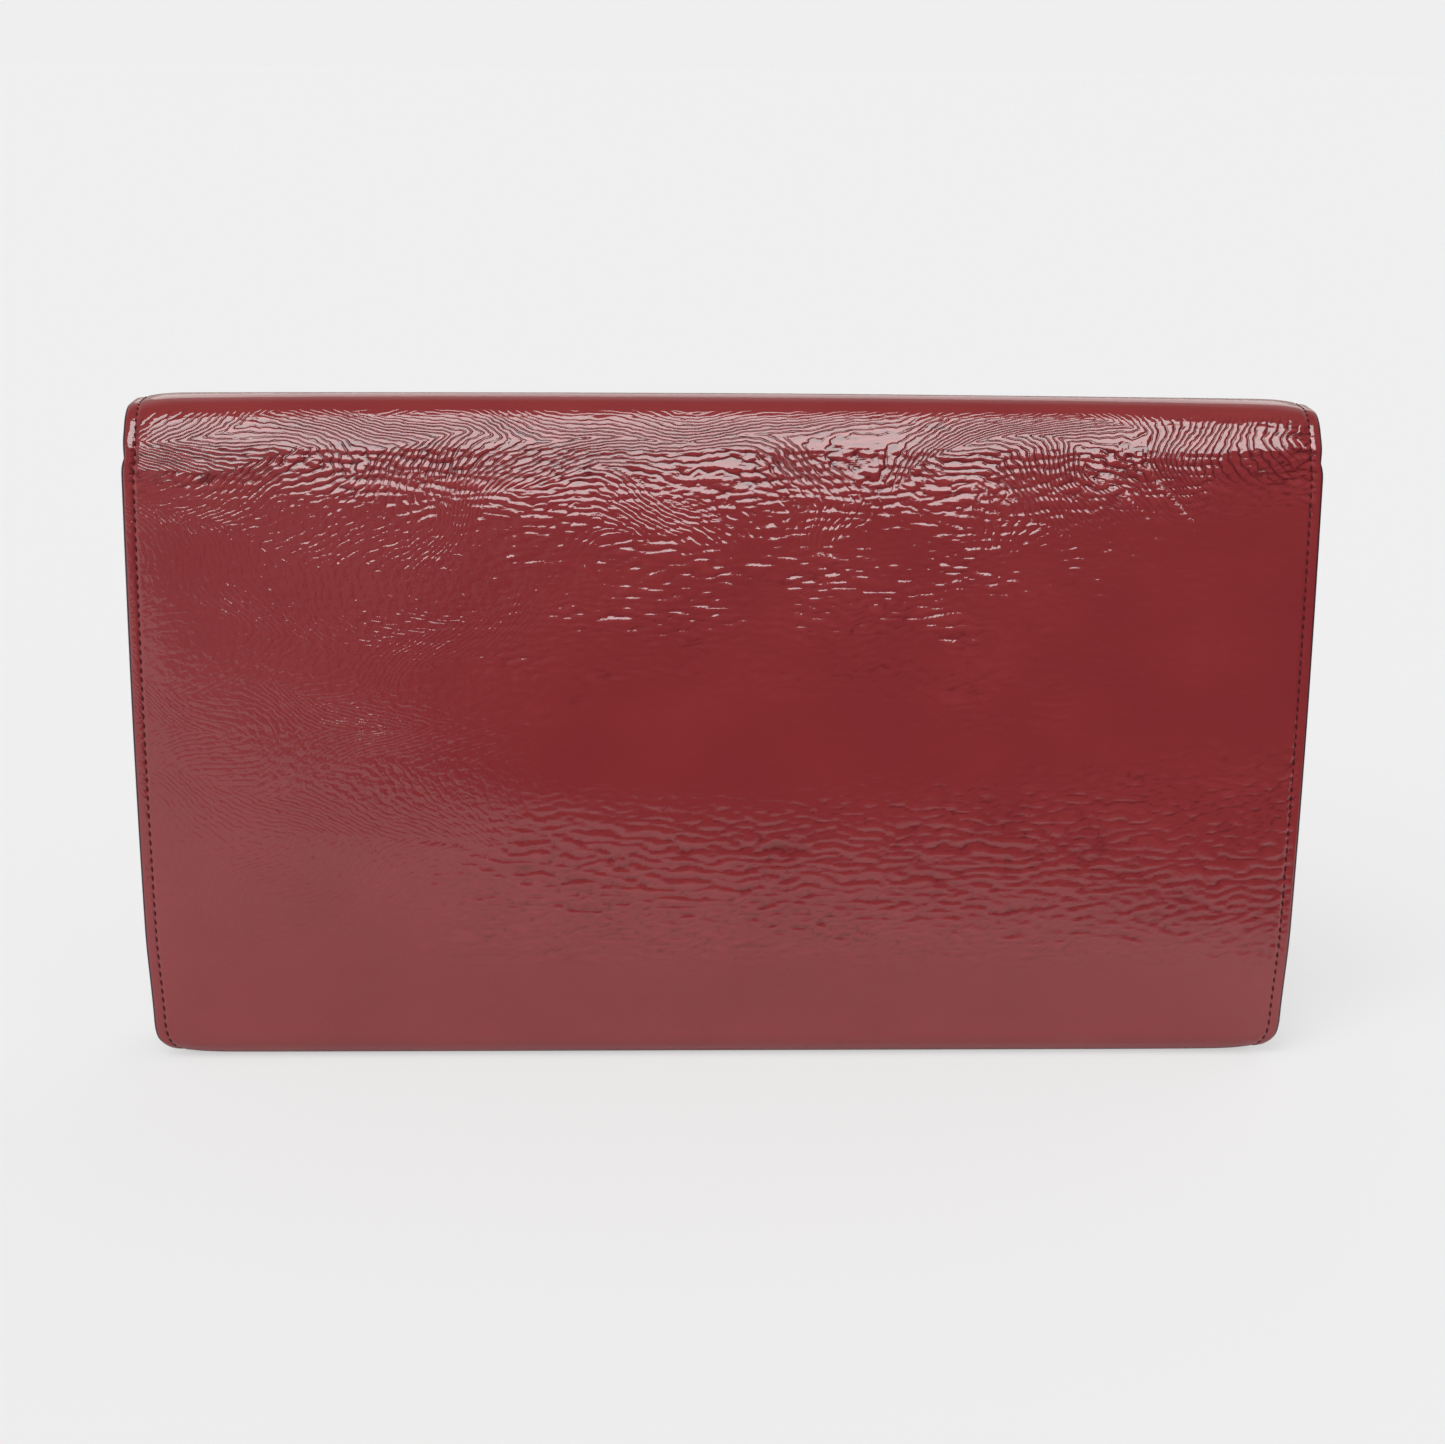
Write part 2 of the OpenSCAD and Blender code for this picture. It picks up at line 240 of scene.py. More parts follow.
def noise(x: Array, y: Array, seed: int) -> Array:
    """Gradient noise on a unit lattice, about -1 to 1.

    Each lattice corner has a random slope, and a point takes the four corner slopes' heights
    mixed by the quintic 6t^5 - 15t^4 + 10t^3.

    Args:
        x: first coordinate, in lattice cells.
        y: second coordinate, in lattice cells.
        seed: number that picks the slopes.

    Returns:
        The height at each point.
    """
    rng = np.random.default_rng(seed)
    order, slopes = rng.permutation(256), rng.uniform(0, 2 * np.pi, 256)
    x, y = np.broadcast_arrays(np.asarray(x, float), np.asarray(y, float))
    xi, yi = np.floor(x).astype(int), np.floor(y).astype(int)
    xf, yf = x - xi, y - yi

    def corner(dx: int, dy: int) -> Array:
        """Height that one corner's slope gives at the points."""
        turn = slopes[order[(order[(xi + dx) & 255] + yi + dy) & 255]]
        return np.cos(turn) * (xf - dx) + np.sin(turn) * (yf - dy)

    u, v = (t**3 * (t * (6 * t - 15) + 10) for t in (xf, yf))
    low = corner(0, 0) * (1 - u) + corner(1, 0) * u
    high = corner(0, 1) * (1 - u) + corner(1, 1) * u
    return 1.5 * (low * (1 - v) + high * v)


def spline(knots: tuple[tuple[float, float], ...], at: Array) -> Array:
    """Natural cubic through knots: the second slopes solve one tridiagonal set of equations.

    Args:
        knots: (place, value) pairs in rising order of place.
        at: places to evaluate, held to the knots' range.

    Returns:
        The value at each place.
    """
    k, v = np.array(knots, float).T
    h = np.diff(k)
    n = len(k)
    system, right = np.eye(n), np.zeros(n)
    rows = np.arange(1, n - 1)
    system[rows, rows - 1], system[rows, rows + 1] = h[:-1], h[1:]
    system[rows, rows] = 2 * (h[:-1] + h[1:])
    right[rows] = 6 * (np.diff(v)[1:] / h[1:] - np.diff(v)[:-1] / h[:-1])
    bend = np.linalg.solve(system, right)
    at = np.clip(at, k[0], k[-1])
    i = np.clip(np.searchsorted(k, at) - 1, 0, n - 2)
    a, b = (k[i + 1] - at) / h[i], (at - k[i]) / h[i]
    cubic = (a**3 - a) * bend[i] + (b**3 - b) * bend[i + 1]
    return a * v[i] + b * v[i + 1] + cubic * h[i] ** 2 / 6


def crinkle(x: Array, s: Array, seed: int) -> Array:
    """Height of the creased lacquer, 0 in a crease to 1 on a ridge between creases.

    Ridges |sin(pi phase)| run along the width, their phase pushed about by noise so that they
    wave, fork and stop. Three more sets lean either way, each in its own patches, and the
    lowest of the sets at a point is kept.

    Args:
        x: place along the width, in mm.
        s: place along the leather, in mm.
        seed: number that picks the pattern.

    Returns:
        The height at each point.
    """
    slow = 1.3 * noise(x / 38, s / 20, seed) + 0.16 * noise(x / 2.6, s / 2.2, seed + 20)
    ridge = 1.0
    sets = ((0.04, 2.05, 6.5), (0.5, 3.6, 16), (-0.44, 3.3, 15), (0.2, 2.8, 9))
    for k, (lean, pitch, spread) in enumerate(sets):
        push = (0.5 if k else 0.85) * noise(x / spread, s / 3.8, seed + 1 + k) + slow
        one = np.abs(np.sin(np.pi * ((s + lean * x) / pitch + push)))
        if k:
            patch = smooth(0.55 + 1.8 * noise(x / 24, s / 13, seed + 11 + k))
            one = 1 - patch * (1 - np.minimum(1, 1.5 * one))
        ridge = np.minimum(ridge, one)
    return 1 - (1 - ridge) ** 1.6


def strands(x: Array, s: Array, seed: int) -> Array:
    """Phase of the fine parallel lines between the creases: a line at each whole number.

    The phase is 0.6 of sqrt(x^2 + 46^2), which leans the lines over towards both ends, plus 0.75
    of a triangle wave along the leather, which turns them back in herringbones, over the
    spacing. Slow noise bends both parts and fine noise shakes the lines.

    Args:
        x: place along the width, in mm.
        s: place along the leather, in mm.
        seed: number that picks the pattern.

    Returns:
        The phase at each point.
    """
    across = np.hypot(x + 7 + 9 * noise(x / 30, s / 24, seed), 46)
    run = 15 + 3 * noise(x / 60, s / 60, seed + 1)
    turned = np.abs(np.mod((s - 3 + 7 * noise(x / 24, s / 17, seed + 2)) / run, 2) - 1) * run
    return (0.6 * across + 0.75 * turned) / 1.4 + 0.4 * noise(x / 2.6, s / 2, seed + 3)


# ---------------------------------------------------------------------------
# meshes


def grid_faces(rows: int, cols: int, start: int = 0, wrap: bool = False) -> Array:
    """Quads of a grid of points numbered row by row; wrap joins its last column to its first.

    Args:
        rows: number of rows.
        cols: number of points in a row.
        start: number of the first point.
        wrap: True joins the last column to the first.

    Returns:
        One quad to a row of four point numbers.
    """
    r = np.arange(rows - 1)[:, None]
    c = np.arange(cols if wrap else cols - 1)[None, :]
    d = (c + 1) % cols
    corners = (r * cols + c, r * cols + d, (r + 1) * cols + d, (r + 1) * cols + c)
    return start + np.stack([q.ravel() for q in np.broadcast_arrays(*corners)], axis=1)


def ring_of(rows: int, cols: int) -> Array:
    """Numbers of a grid's border points, once round."""
    n = np.arange(rows * cols).reshape(rows, cols)
    return np.concatenate([n[0, :-1], n[:-1, -1], n[-1, :0:-1], n[:0:-1, 0]])


def write_piece(
    name: str,
    points: Array,
    faces: list[Array],
    material: bpy.types.Material,
    uv: Array | None = None,
    marks: dict[str, Array] | None = None,
    sharp: float = 50,
    weld: bool = False,
) -> bpy.types.Object:
    """Put arrays into a smooth-shaded object at the origin, with its faces turned outwards.

    Args:
        name: the piece's name.
        points: (n, 3) places in mm.
        faces: arrays of triangles or quads, as point numbers.
        material: its finish.
        uv: (n, 2) pattern places in mm, stored as the UV map "skin".
        marks: named values for each point, stored as attributes.
        sharp: angle past which an edge is shaded sharp, in degrees.
        weld: merge points that lie on each other, as at a pole.

    Returns:
        The new object.
    """
    mesh = bpy.data.meshes.new(name)
    loops = np.concatenate([f.ravel() for f in faces]).astype(np.int32)
    sizes = np.concatenate([np.full(len(f), f.shape[1]) for f in faces])
    mesh.vertices.add(len(points))
    mesh.vertices.foreach_set("co", (points * MM).astype(np.float32).ravel())
    mesh.loops.add(len(loops))
    mesh.loops.foreach_set("vertex_index", loops)
    mesh.polygons.add(len(sizes))
    starts = np.concatenate([[0], np.cumsum(sizes)[:-1]]).astype(np.int32)
    mesh.polygons.foreach_set("loop_start", starts)
    mesh.update(calc_edges=True)
    if uv is not None:
        layer = mesh.uv_layers.new(name="skin")
        layer.data.foreach_set("uv", uv[loops].astype(np.float32).ravel())
    for label, values in (marks or {}).items():
        mark = mesh.attributes.new(label, "FLOAT", "POINT")
        mark.data.foreach_set("value", values.astype(np.float32).ravel())
    shell = bmesh.new()
    shell.from_mesh(mesh)
    if weld:
        bmesh.ops.remove_doubles(shell, verts=shell.verts, dist=1e-7)
    bmesh.ops.recalc_face_normals(shell, faces=shell.faces)
    shell.to_mesh(mesh)
    shell.free()
    mesh.polygons.foreach_set("use_smooth", np.ones(len(mesh.polygons), bool))
    mesh.set_sharp_from_angle(angle=math.radians(sharp))
    mesh.materials.append(material)
    piece = bpy.data.objects.new(name, mesh)
    bpy.context.scene.collection.objects.link(piece)
    return piece


def slab(top: Array, under: Array) -> tuple[Array, list[Array]]:
    """Closed layer between two grids of the same shape, with a wall round their border.

    Args:
        top: (rows, cols, 3) points of one face.
        under: (rows, cols, 3) points of the other.

    Returns:
        Points and faces.
    """
    rows, cols, _ = top.shape
    n = rows * cols
    ring = ring_of(rows, cols)
    nxt = np.roll(ring, -1)
    wall = np.stack([ring, nxt, nxt + n, ring + n], axis=1)
    points = np.concatenate([top.reshape(-1, 3), under.reshape(-1, 3)])
    return points, [grid_faces(rows, cols), grid_faces(rows, cols, n)[:, ::-1], wall]


def tube(rings: Array) -> tuple[Array, list[Array]]:
    """Closed tube through rings of points, each end closed by a fan to its middle.

    Args:
        rings: (tubes, rings, points round, 3).

    Returns:
        Points and faces.
    """
    count, n, m, _ = rings.shape
    per = n * m + 2
    caps = np.stack([rings[:, 0].mean(1), rings[:, -1].mean(1)], axis=1)
    points = np.concatenate([rings.reshape(count, n * m, 3), caps], axis=1)
    side = grid_faces(n, m, wrap=True)
    c = np.arange(m)
    d = (c + 1) % m
    first = np.stack([d, c, np.full(m, n * m)], axis=1)
    last = np.stack([c, d, np.full(m, n * m + 1 - (n - 1) * m)], axis=1) + (n - 1) * m
    offset = (np.arange(count) * per)[:, None, None]
    ends = np.concatenate([first, last])
    faces = [(side[None] + offset).reshape(-1, 4), (ends[None] + offset).reshape(-1, 3)]
    return points.reshape(-1, 3), faces


def joined(parts: list[tuple[Array, list[Array]]]) -> tuple[Array, list[Array]]:
    """Points and faces of several closed parts as one.

    Args:
        parts: points and faces of each part.

    Returns:
        Points and faces of the whole.
    """
    starts = np.cumsum([0] + [len(points) for points, _ in parts])
    faces = [f + start for (_, part), start in zip(parts, starts) for f in part]
    return np.concatenate([points for points, _ in parts]), faces


# ---------------------------------------------------------------------------
# finishes


def linear(hex_colour: str) -> tuple[float, float, float, float]:
    """Linear colour for an sRGB hex value such as 842B2E.

    Args:
        hex_colour: six hex digits.

    Returns:
        Red, green, blue and an alpha of 1.
    """
    values = [int(hex_colour[i : i + 2], 16) / 255 for i in (0, 2, 4)]
    rgb = [v / 12.92 if v <= 0.04045 else ((v + 0.055) / 1.055) ** 2.4 for v in values]
    return (*rgb, 1.0)


def add(
    tree: bpy.types.NodeTree, kind: str, inputs: dict | None = None, **settings: object
) -> bpy.types.Node:
    """Add one node to a tree, with its settings and links.

    Args:
        tree: the node tree.
        kind: the node's type without its ShaderNode prefix.
        inputs: by input name or number, a value, a socket, or a node for its first output.
        settings: the node's own properties.

    Returns:
        The new node.
    """
    node = tree.nodes.new("ShaderNode" + kind)
    for key, value in settings.items():
        setattr(node, key, value)
    for key, value in (inputs or {}).items():
        if isinstance(value, bpy.types.Node):
            value = next(out for out in value.outputs if out.enabled)
        if isinstance(value, bpy.types.NodeSocket):
            tree.links.new(value, node.inputs[key])
        else:
            node.inputs[key].default_value = value
    return node


def new_material(name: str) -> tuple[bpy.types.Material, Adder]:
    """Node material with an empty tree, and add() for that tree.

    Args:
        name: what the real finish is.

    Returns:
        The material, and add() for its tree.
    """
    material = bpy.data.materials.new(name)
    material.use_nodes = True
    material.node_tree.nodes.clear()
    return material, partial(add, material.node_tree)


def close(
    node: Adder, tones: tuple[str, str], share: Node, relief: Node, deep_mm: float, shader: dict
) -> None:
    """Finish a material that mixes two tones and has a relief.

    Args:
        node: add() for the material's tree.
        tones: sRGB hex colours where share is 0 and where it is 1.
        share: node with the share of the second tone.
        relief: node with the relief's height.
        deep_mm: depth of the relief where its height is 1, in mm.
        shader: the shader's other inputs.
    """
    low, high = (linear(tone) for tone in tones)
    colour = node("Mix", {0: share, 6: low, 7: high}, data_type="RGBA")
    height = node("Math", {0: relief, 1: deep_mm}, operation="MULTIPLY")
    bump = node("Bump", {"Height": height, "Distance": MM})
    surface = node("BsdfPrincipled", {"Base Color": colour, "Normal": bump, **shader})
    node("OutputMaterial", {0: surface})


@dataclass(frozen=True)
class PatentLeather:
    """Calf leather under a thick clear lacquer that has creased: wet gloss over a deep red.

    The red lies in the leather, so it stays even, and the lacquer adds clear reflections that
    break up along every crease. Painted shade darkens the creases' floors and the valleys of the
    hair lines, and a painted highlight makes their crests paler. Fine parallel lines between
    them are the ridges |sin(pi phase)| of the mark "phase".
    """

    deep: str = "7A2429"
    pale: str = "8E3335"
    # Painted shade colour for the creases' floors and the hair lines' valleys.
    crease: str = "4E1216"
    # Painted highlight colour for the creases' crests.
    crest: str = "A04044"
    leather_roughness: float = 0.5
    lacquer_roughness: float = 0.065
    lacquer_ior: float = 1.58
    cloud_mm: float = 26
    pebble_mm: float = 1.9
    pebble_deep_mm: float = 0.02
    pebble_grain_mm: float = 0.15
    hair_deep_mm: float = 0.135
    grain_deep_mm: float = 0.028
    line_width: float = 0.9

    def build(self) -> bpy.types.Material:
        """Make the material; it reads the UV map "skin" and the marks of the hide.

        Returns:
            The material.
        """
        material, node = new_material("patent_leather_lacquered_calf")
        place = node("UVMap", uv_map="skin")
        crease, grain, hair, phase = (
            node("Attribute", attribute_name=name).outputs["Fac"]
            for name in ("crease", "grain", "hair", "phase")
        )
        cloud = node("TexNoise", {"Vector": place, "Scale": 1 / self.cloud_mm, "Detail": 3.0})
        span = {"From Min": 0.3, "From Max": 0.7, "To Min": 0.35, "To Max": 0.65}
        cloudy = node("MapRange", {"Value": cloud, **span})
        turn = node("Math", {0: phase, 1: math.pi}, operation="MULTIPLY")
        ridge = node("Math", {0: node("Math", {0: turn}, operation="SINE")}, operation="ABSOLUTE")
        span = {"From Max": self.line_width, "To Min": 1.0, "To Max": 0.0}
        valley = node("MapRange", {"Value": ridge, **span})
        # Painted shade: the hair lines' valleys and the creases' floors take the darker crease tone.
        hairline = node("Math", {0: valley, 1: hair}, operation="MULTIPLY")
        both = node("Math", {0: crease, 1: hairline}, operation="MAXIMUM")
        painted_crease_shading = node("MapRange", {"Value": both, "From Min": 0.25, "To Max": 0.85})
        # Painted highlight: crests, where the crease mark is below 0, take the paler crest tone.
        span = {"From Min": -0.15, "From Max": -1.0, "To Max": 0.7}
        painted_crest_highlight = node("MapRange", {"Value": crease, **span})
        colour = linear(self.deep)
        for share, tone in ((cloudy, self.pale), (painted_crest_highlight, self.crest), (painted_crease_shading, self.crease)):
            colour = node("Mix", {0: share, 6: colour, 7: linear(tone)}, data_type="RGBA")
        deep = node("Math", {0: grain, 1: self.grain_deep_mm}, operation="MULTIPLY")
        deep = node("Math", {0: hair, 1: self.hair_deep_mm, 2: deep}, operation="MULTIPLY_ADD")
        walls = {"Value": ridge, "From Max": self.line_width}
        walls = node("MapRange", walls, interpolation_type="SMOOTHSTEP")
        lines = node("Math", {0: walls, 1: deep}, operation="MULTIPLY")
        pebble = node("TexNoise", {"Vector": place, "Scale": 1 / self.pebble_mm, "Detail": 2.0})
        bumps = {0: grain, 1: self.pebble_grain_mm, 2: self.pebble_deep_mm}
        bumps = node("Math", bumps, operation="MULTIPLY_ADD")
        height = node("Math", {0: pebble, 1: bumps, 2: lines}, operation="MULTIPLY_ADD")
        normal = node("Bump", {"Height": height, "Distance": MM})
        lacquered = {
            "Base Color": colour,
            "Roughness": self.leather_roughness,
            "Specular IOR Level": 0.02,
            "Coat Weight": 1.0,
            "Coat Roughness": self.lacquer_roughness,
            "Coat IOR": self.lacquer_ior,
            "Normal": normal,
            "Coat Normal": normal,
        }
        node("OutputMaterial", {0: node("BsdfPrincipled", lacquered)})
        return material


@dataclass(frozen=True)
class SoftLeather:
    """Thin soft leather of the gussets and pocket strip: satin, with a fine natural grain."""

    tones: tuple[str, str] = ("6E2327", "4B171B")
    roughness: float = 0.42
    grain_mm: float = 1.1
    grain_deep_mm: float = 0.06
    cloud_mm: float = 14

    def build(self) -> bpy.types.Material:
        """Make the material; it reads Object coordinates.

        Returns:
            The material.
        """
        material, node = new_material("gusset_leather_soft_nappa")
        place = node("TexCoord").outputs["Object"]
        cells = node("TexVoronoi", {"Vector": place, "Scale": 1 / (self.grain_mm * MM)})
        cloud = {"Vector": place, "Scale": 1 / (self.cloud_mm * MM), "Detail": 3.0}
        share = {0: cells, 1: 0.5, 2: node("TexNoise", cloud)}
        share = node("Math", share, operation="MULTIPLY_ADD")
        toned = node("MapRange", {"Value": share, "From Min": 0.45, "From Max": 1.0})
        satin = {"Roughness": self.roughness, "Specular IOR Level": 0.45}
        close(node, self.tones, toned, cells, -self.grain_deep_mm, satin)
        return material


@dataclass(frozen=True)
class EdgePaint:
    """Thick acrylic edge dye, brushed on and rubbed: dark plum, half glossy, slightly uneven."""

    tones: tuple[str, str] = ("3A2029", "5A2C36")
    roughness: float = 0.36
    brush_mm: float = 3.0
    brush_deep_mm: float = 0.08

    def build(self) -> bpy.types.Material:
        """Make the material; it reads Object coordinates.

        Returns:
            The material.
        """
        material, node = new_material("edge_dye_acrylic")
        place = node("TexCoord").outputs["Object"]
        brushed = {"Vector": place, "Scale": 1 / (self.brush_mm * MM), "Detail": 3.0}
        uneven = node("TexNoise", brushed)
        rubbed = node("MapRange", {"Value": uneven, "From Min": 0.5, "From Max": 0.8})
        half_gloss = {"Roughness": self.roughness, "Specular IOR Level": 0.35}
        close(node, self.tones, rubbed, uneven, self.brush_deep_mm, half_gloss)
        return material


@dataclass(frozen=True)
class Thread:
    """Waxed polyester sewing thread, twisted: its plies show as slanting stripes."""

    tones: tuple[str, str] = ("30070C", "560F17")
    roughness: float = 0.7
    ply_mm: float = 0.42
    ply_deep_mm: float = 0.02

    def build(self) -> bpy.types.Material:
        """Make the material; its UV map gives mm along the thread and round it.

        Returns:
            The material.
        """
        material, node = new_material("thread_waxed_polyester")
        place = node("UVMap", uv_map="skin")
        turn = 2 * math.pi / self.ply_mm
        slant = node("VectorMath", {0: place, 1: (turn, turn, 0.0)}, operation="DOT_PRODUCT")
        wave = node("Math", {0: slant}, operation="SINE")
        ply = node("MapRange", {"Value": wave, "From Min": -1.0, "From Max": 0.2})
        waxed = {"Roughness": self.roughness, "Specular IOR Level": 0.15}
        close(node, self.tones, ply, wave, self.ply_deep_mm, waxed)
        return material


@dataclass(frozen=True)
class LiningCloth:
    """Fine viscose twill, woven: narrow slanting ribs with a soft sheen.

    Real ribs are about 0.4 mm apart, too fine to show, so they are drawn twice that size.
    """

    tones: tuple[str, str] = ("3A0F15", "5B1B22")
    rib_mm: float = 0.9
    rib_deep_mm: float = 0.035
    yarn_mm: float = 0.6
    cloud_mm: float = 18
    roughness: float = 0.62

    def build(self) -> bpy.types.Material:
        """Make the material; it reads the UV map "skin".

        Returns:
            The material.
        """
        material, node = new_material("lining_viscose_twill")
        place = node("UVMap", uv_map="skin")
        rib, yarn = 2 * math.pi / self.rib_mm, 2 * math.pi / self.yarn_mm
        ribs, yarns = (
            node("Math", {0: node("VectorMath", {0: place, 1: way}, operation="DOT_PRODUCT")},
                 operation="SINE")
            for way in ((rib, rib, 0.0), (0.0, yarn, 0.0))
        )
        woven = node("Math", {0: yarns, 1: 0.4, 2: ribs}, operation="MULTIPLY_ADD")
        cloud = node("TexNoise", {"Vector": place, "Scale": 1 / self.cloud_mm, "Detail": 4.0})
        share = node("Math", {0: woven, 1: 0.28, 2: cloud}, operation="MULTIPLY_ADD")
        toned = node("MapRange", {"Value": share, "From Min": 0.2, "From Max": 0.9})
        soft = {"Roughness": self.roughness, "Specular IOR Level": 0.3}
        sheen = {"Sheen Weight": 0.35, "Sheen Roughness": 0.4}
        close(node, self.tones, toned, woven, self.rib_deep_mm, soft | sheen)
        return material


@dataclass(frozen=True)
class Fibres:
    """Matted fibres, as in needled foam fleece or grey board: speckled and quite matt."""

    name: str
    tones: tuple[str, str]
    fibre_mm: float
    fibre_deep_mm: float

    def build(self) -> bpy.types.Material:
        """Make the material; it reads Object coordinates.

        Returns:
            The material.
        """
        material, node = new_material(self.name)
        place = node("TexCoord").outputs["Object"]
        matted = {"Vector": place, "Scale": 1 / (self.fibre_mm * MM), "Detail": 5.0}
        specks = node("TexNoise", matted)
        flecked = node("MapRange", {"Value": specks, "From Min": 0.42, "From Max": 0.68})
        close(node, self.tones, flecked, specks, self.fibre_deep_mm, {"Roughness": 0.92})
        return material


@dataclass(frozen=True)
class SnapMetal:
    """Pressed and plated snap part: polished, with hair scratches and a little dulling."""

    name: str
    tones: tuple[str, str]
    roughness: float
    patch_mm: float = 4.0
    scratch_mm: float = 0.25
    scratch_deep_mm: float = 0.01

    def build(self) -> bpy.types.Material:
        """Make the material; it reads Object coordinates.

        Returns:
            The material.
        """
        material, node = new_material(self.name)
        place = node("TexCoord").outputs["Object"]
        patches = {"Vector": place, "Scale": 1 / (self.patch_mm * MM), "Detail": 4.0}
        dulling = node("TexNoise", patches)
        drawn = node("Mapping", {"Vector": place, "Scale": (1.0, 0.07, 0.07)})
        drawn = {"Vector": drawn, "Scale": 1 / (self.scratch_mm * MM), "Detail": 2.0}
        scratches = node("TexNoise", drawn)
        dulled = node("MapRange", {"Value": dulling, "From Min": 0.45, "From Max": 0.75})
        span = {"To Min": self.roughness - 0.08, "To Max": self.roughness + 0.1}
        plated = {"Metallic": 1.0, "Roughness": node("MapRange", {"Value": dulling, **span})}
        close(node, self.tones, dulled, scratches, self.scratch_deep_mm, plated)
        return material


@dataclass(frozen=True)
class Finishes:
    """Every finish of the clutch, made once."""

    patent: bpy.types.Material
    gusset: bpy.types.Material
    paint: bpy.types.Material
    thread: bpy.types.Material
    lining: bpy.types.Material
    fleece: bpy.types.Material
    board: bpy.types.Material
    brass: bpy.types.Material
    steel: bpy.types.Material


def make_finishes() -> Finishes:
    """Build the finishes, in the order of the fields of Finishes.

    Returns:
        The finishes.
    """
    kinds = (
        PatentLeather(),
        SoftLeather(),
        EdgePaint(),
        Thread(),
        LiningCloth(),
        Fibres("foam_fleece_needled", ("DCD8CE", "BDB7AB"), 0.8, 0.25),
        Fibres("stiffener_greyboard", ("A48B67", "7F6A4C"), 1.4, 0.06),
        SnapMetal("snap_brass_plated", ("D8B878", "B8935A"), 0.22),
        SnapMetal("snap_steel_nickelled", ("B4B6B8", "8D8F92"), 0.3),
    )
    return Finishes(*(kind.build() for kind in kinds))


# ---------------------------------------------------------------------------
# the clutch's sizes and the shape of its panels


@dataclass(frozen=True)
class Sizes:
    """Sizes of the clutch in mm, read off the frame where it has them."""

    body_w: float
    body_h: float
    body_d: float
    top_r: float = 11
    base_r: float = 6
    corner_across: float = 6
    corner_up: float = 9.5
    front_lean: float = 1.8
    mouth_drop: float = 13.5
    flap_drop: float = 118
    flap_corner_r: float = 18
    leather_t: float = 1.1
    padded_t: float = 3.0
    stack_t: float = 3.6
    board_t: float = 0.9
    seam_w: float = 4
    lined_inset: float = 6.5
    gusset_t: float = 1
    stitch_inset: float = 2.4
    side_fill: float = 1.35

    @property
    def half_w(self) -> float:
        """Half the width."""
        return self.body_w / 2

    @property
    def mouth_z(self) -> float:
        """Height of the front panel's top edge."""
        return self.body_h - self.mouth_drop

    @property
    def front_face_y(self) -> float:
        """Y of the front panel's face at the top of its base fold, read off the frame."""
        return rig.box("front_leather")[1].y / MM


@dataclass(frozen=True)
class Skin:
    """Outer face of a run of leather, before any padding shows: straights and arcs in YZ.

    Attributes:
        start: its first point (y, z) in mm.
        heading: direction of travel there, in degrees from +Y towards +Z.
        legs: (length in mm, turn in degrees) of each straight or arc.
        side: +1 if the outside is on the left of travel, -1 if on the right.
    """

    start: tuple[float, float]
    heading: float
    legs: tuple[tuple[float, float], ...]
    side: int

    STEP = 0.05
    SPARE = 20.0

    @property
    def wall_s(self) -> float:
        """Place along the curve where its second straight starts."""
        return self.legs[0][0] + self.legs[1][0]

    @property
    def table(self) -> tuple[Array, Array, Array, Array]:
        """Places along the curve with its heading and point, from summing short steps.

        Returns:
            Place, heading in radians, y and z of each step's end.
        """
        ends = np.cumsum([0.0] + [leg[0] for leg in self.legs])
        turns = np.cumsum([0.0] + [leg[1] for leg in self.legs])
        s = np.arange(-self.SPARE, ends[-1] + self.SPARE, self.STEP)
        heading = np.radians(self.heading + np.interp(s, ends, turns))
        middle = (heading[1:] + heading[:-1]) / 2
        y = np.concatenate([[0], np.cumsum(np.cos(middle))]) * self.STEP
        z = np.concatenate([[0], np.cumsum(np.sin(middle))]) * self.STEP
        y += self.start[0] - np.interp(0, s, y)
        z += self.start[1] - np.interp(0, s, z)
        return s, heading, y, z

    def at(self, s: Array) -> tuple[Array, Array, Array, Array]:
        """Point and outward direction at places along the curve: y, z, normal y, normal z.

        Args:
            s: places along the curve, in mm.

        Returns:
            y, z, and the outward direction's y and z.
        """
        places, heading, y, z = _TABLES.setdefault(self, self.table)
        turn = np.interp(s, places, heading)
        out_y, out_z = -np.sin(turn) * self.side, np.cos(turn) * self.side
        return np.interp(s, places, y), np.interp(s, places, z), out_y, out_z


_TABLES: dict[Skin, tuple[Array, Array, Array, Array]] = {}


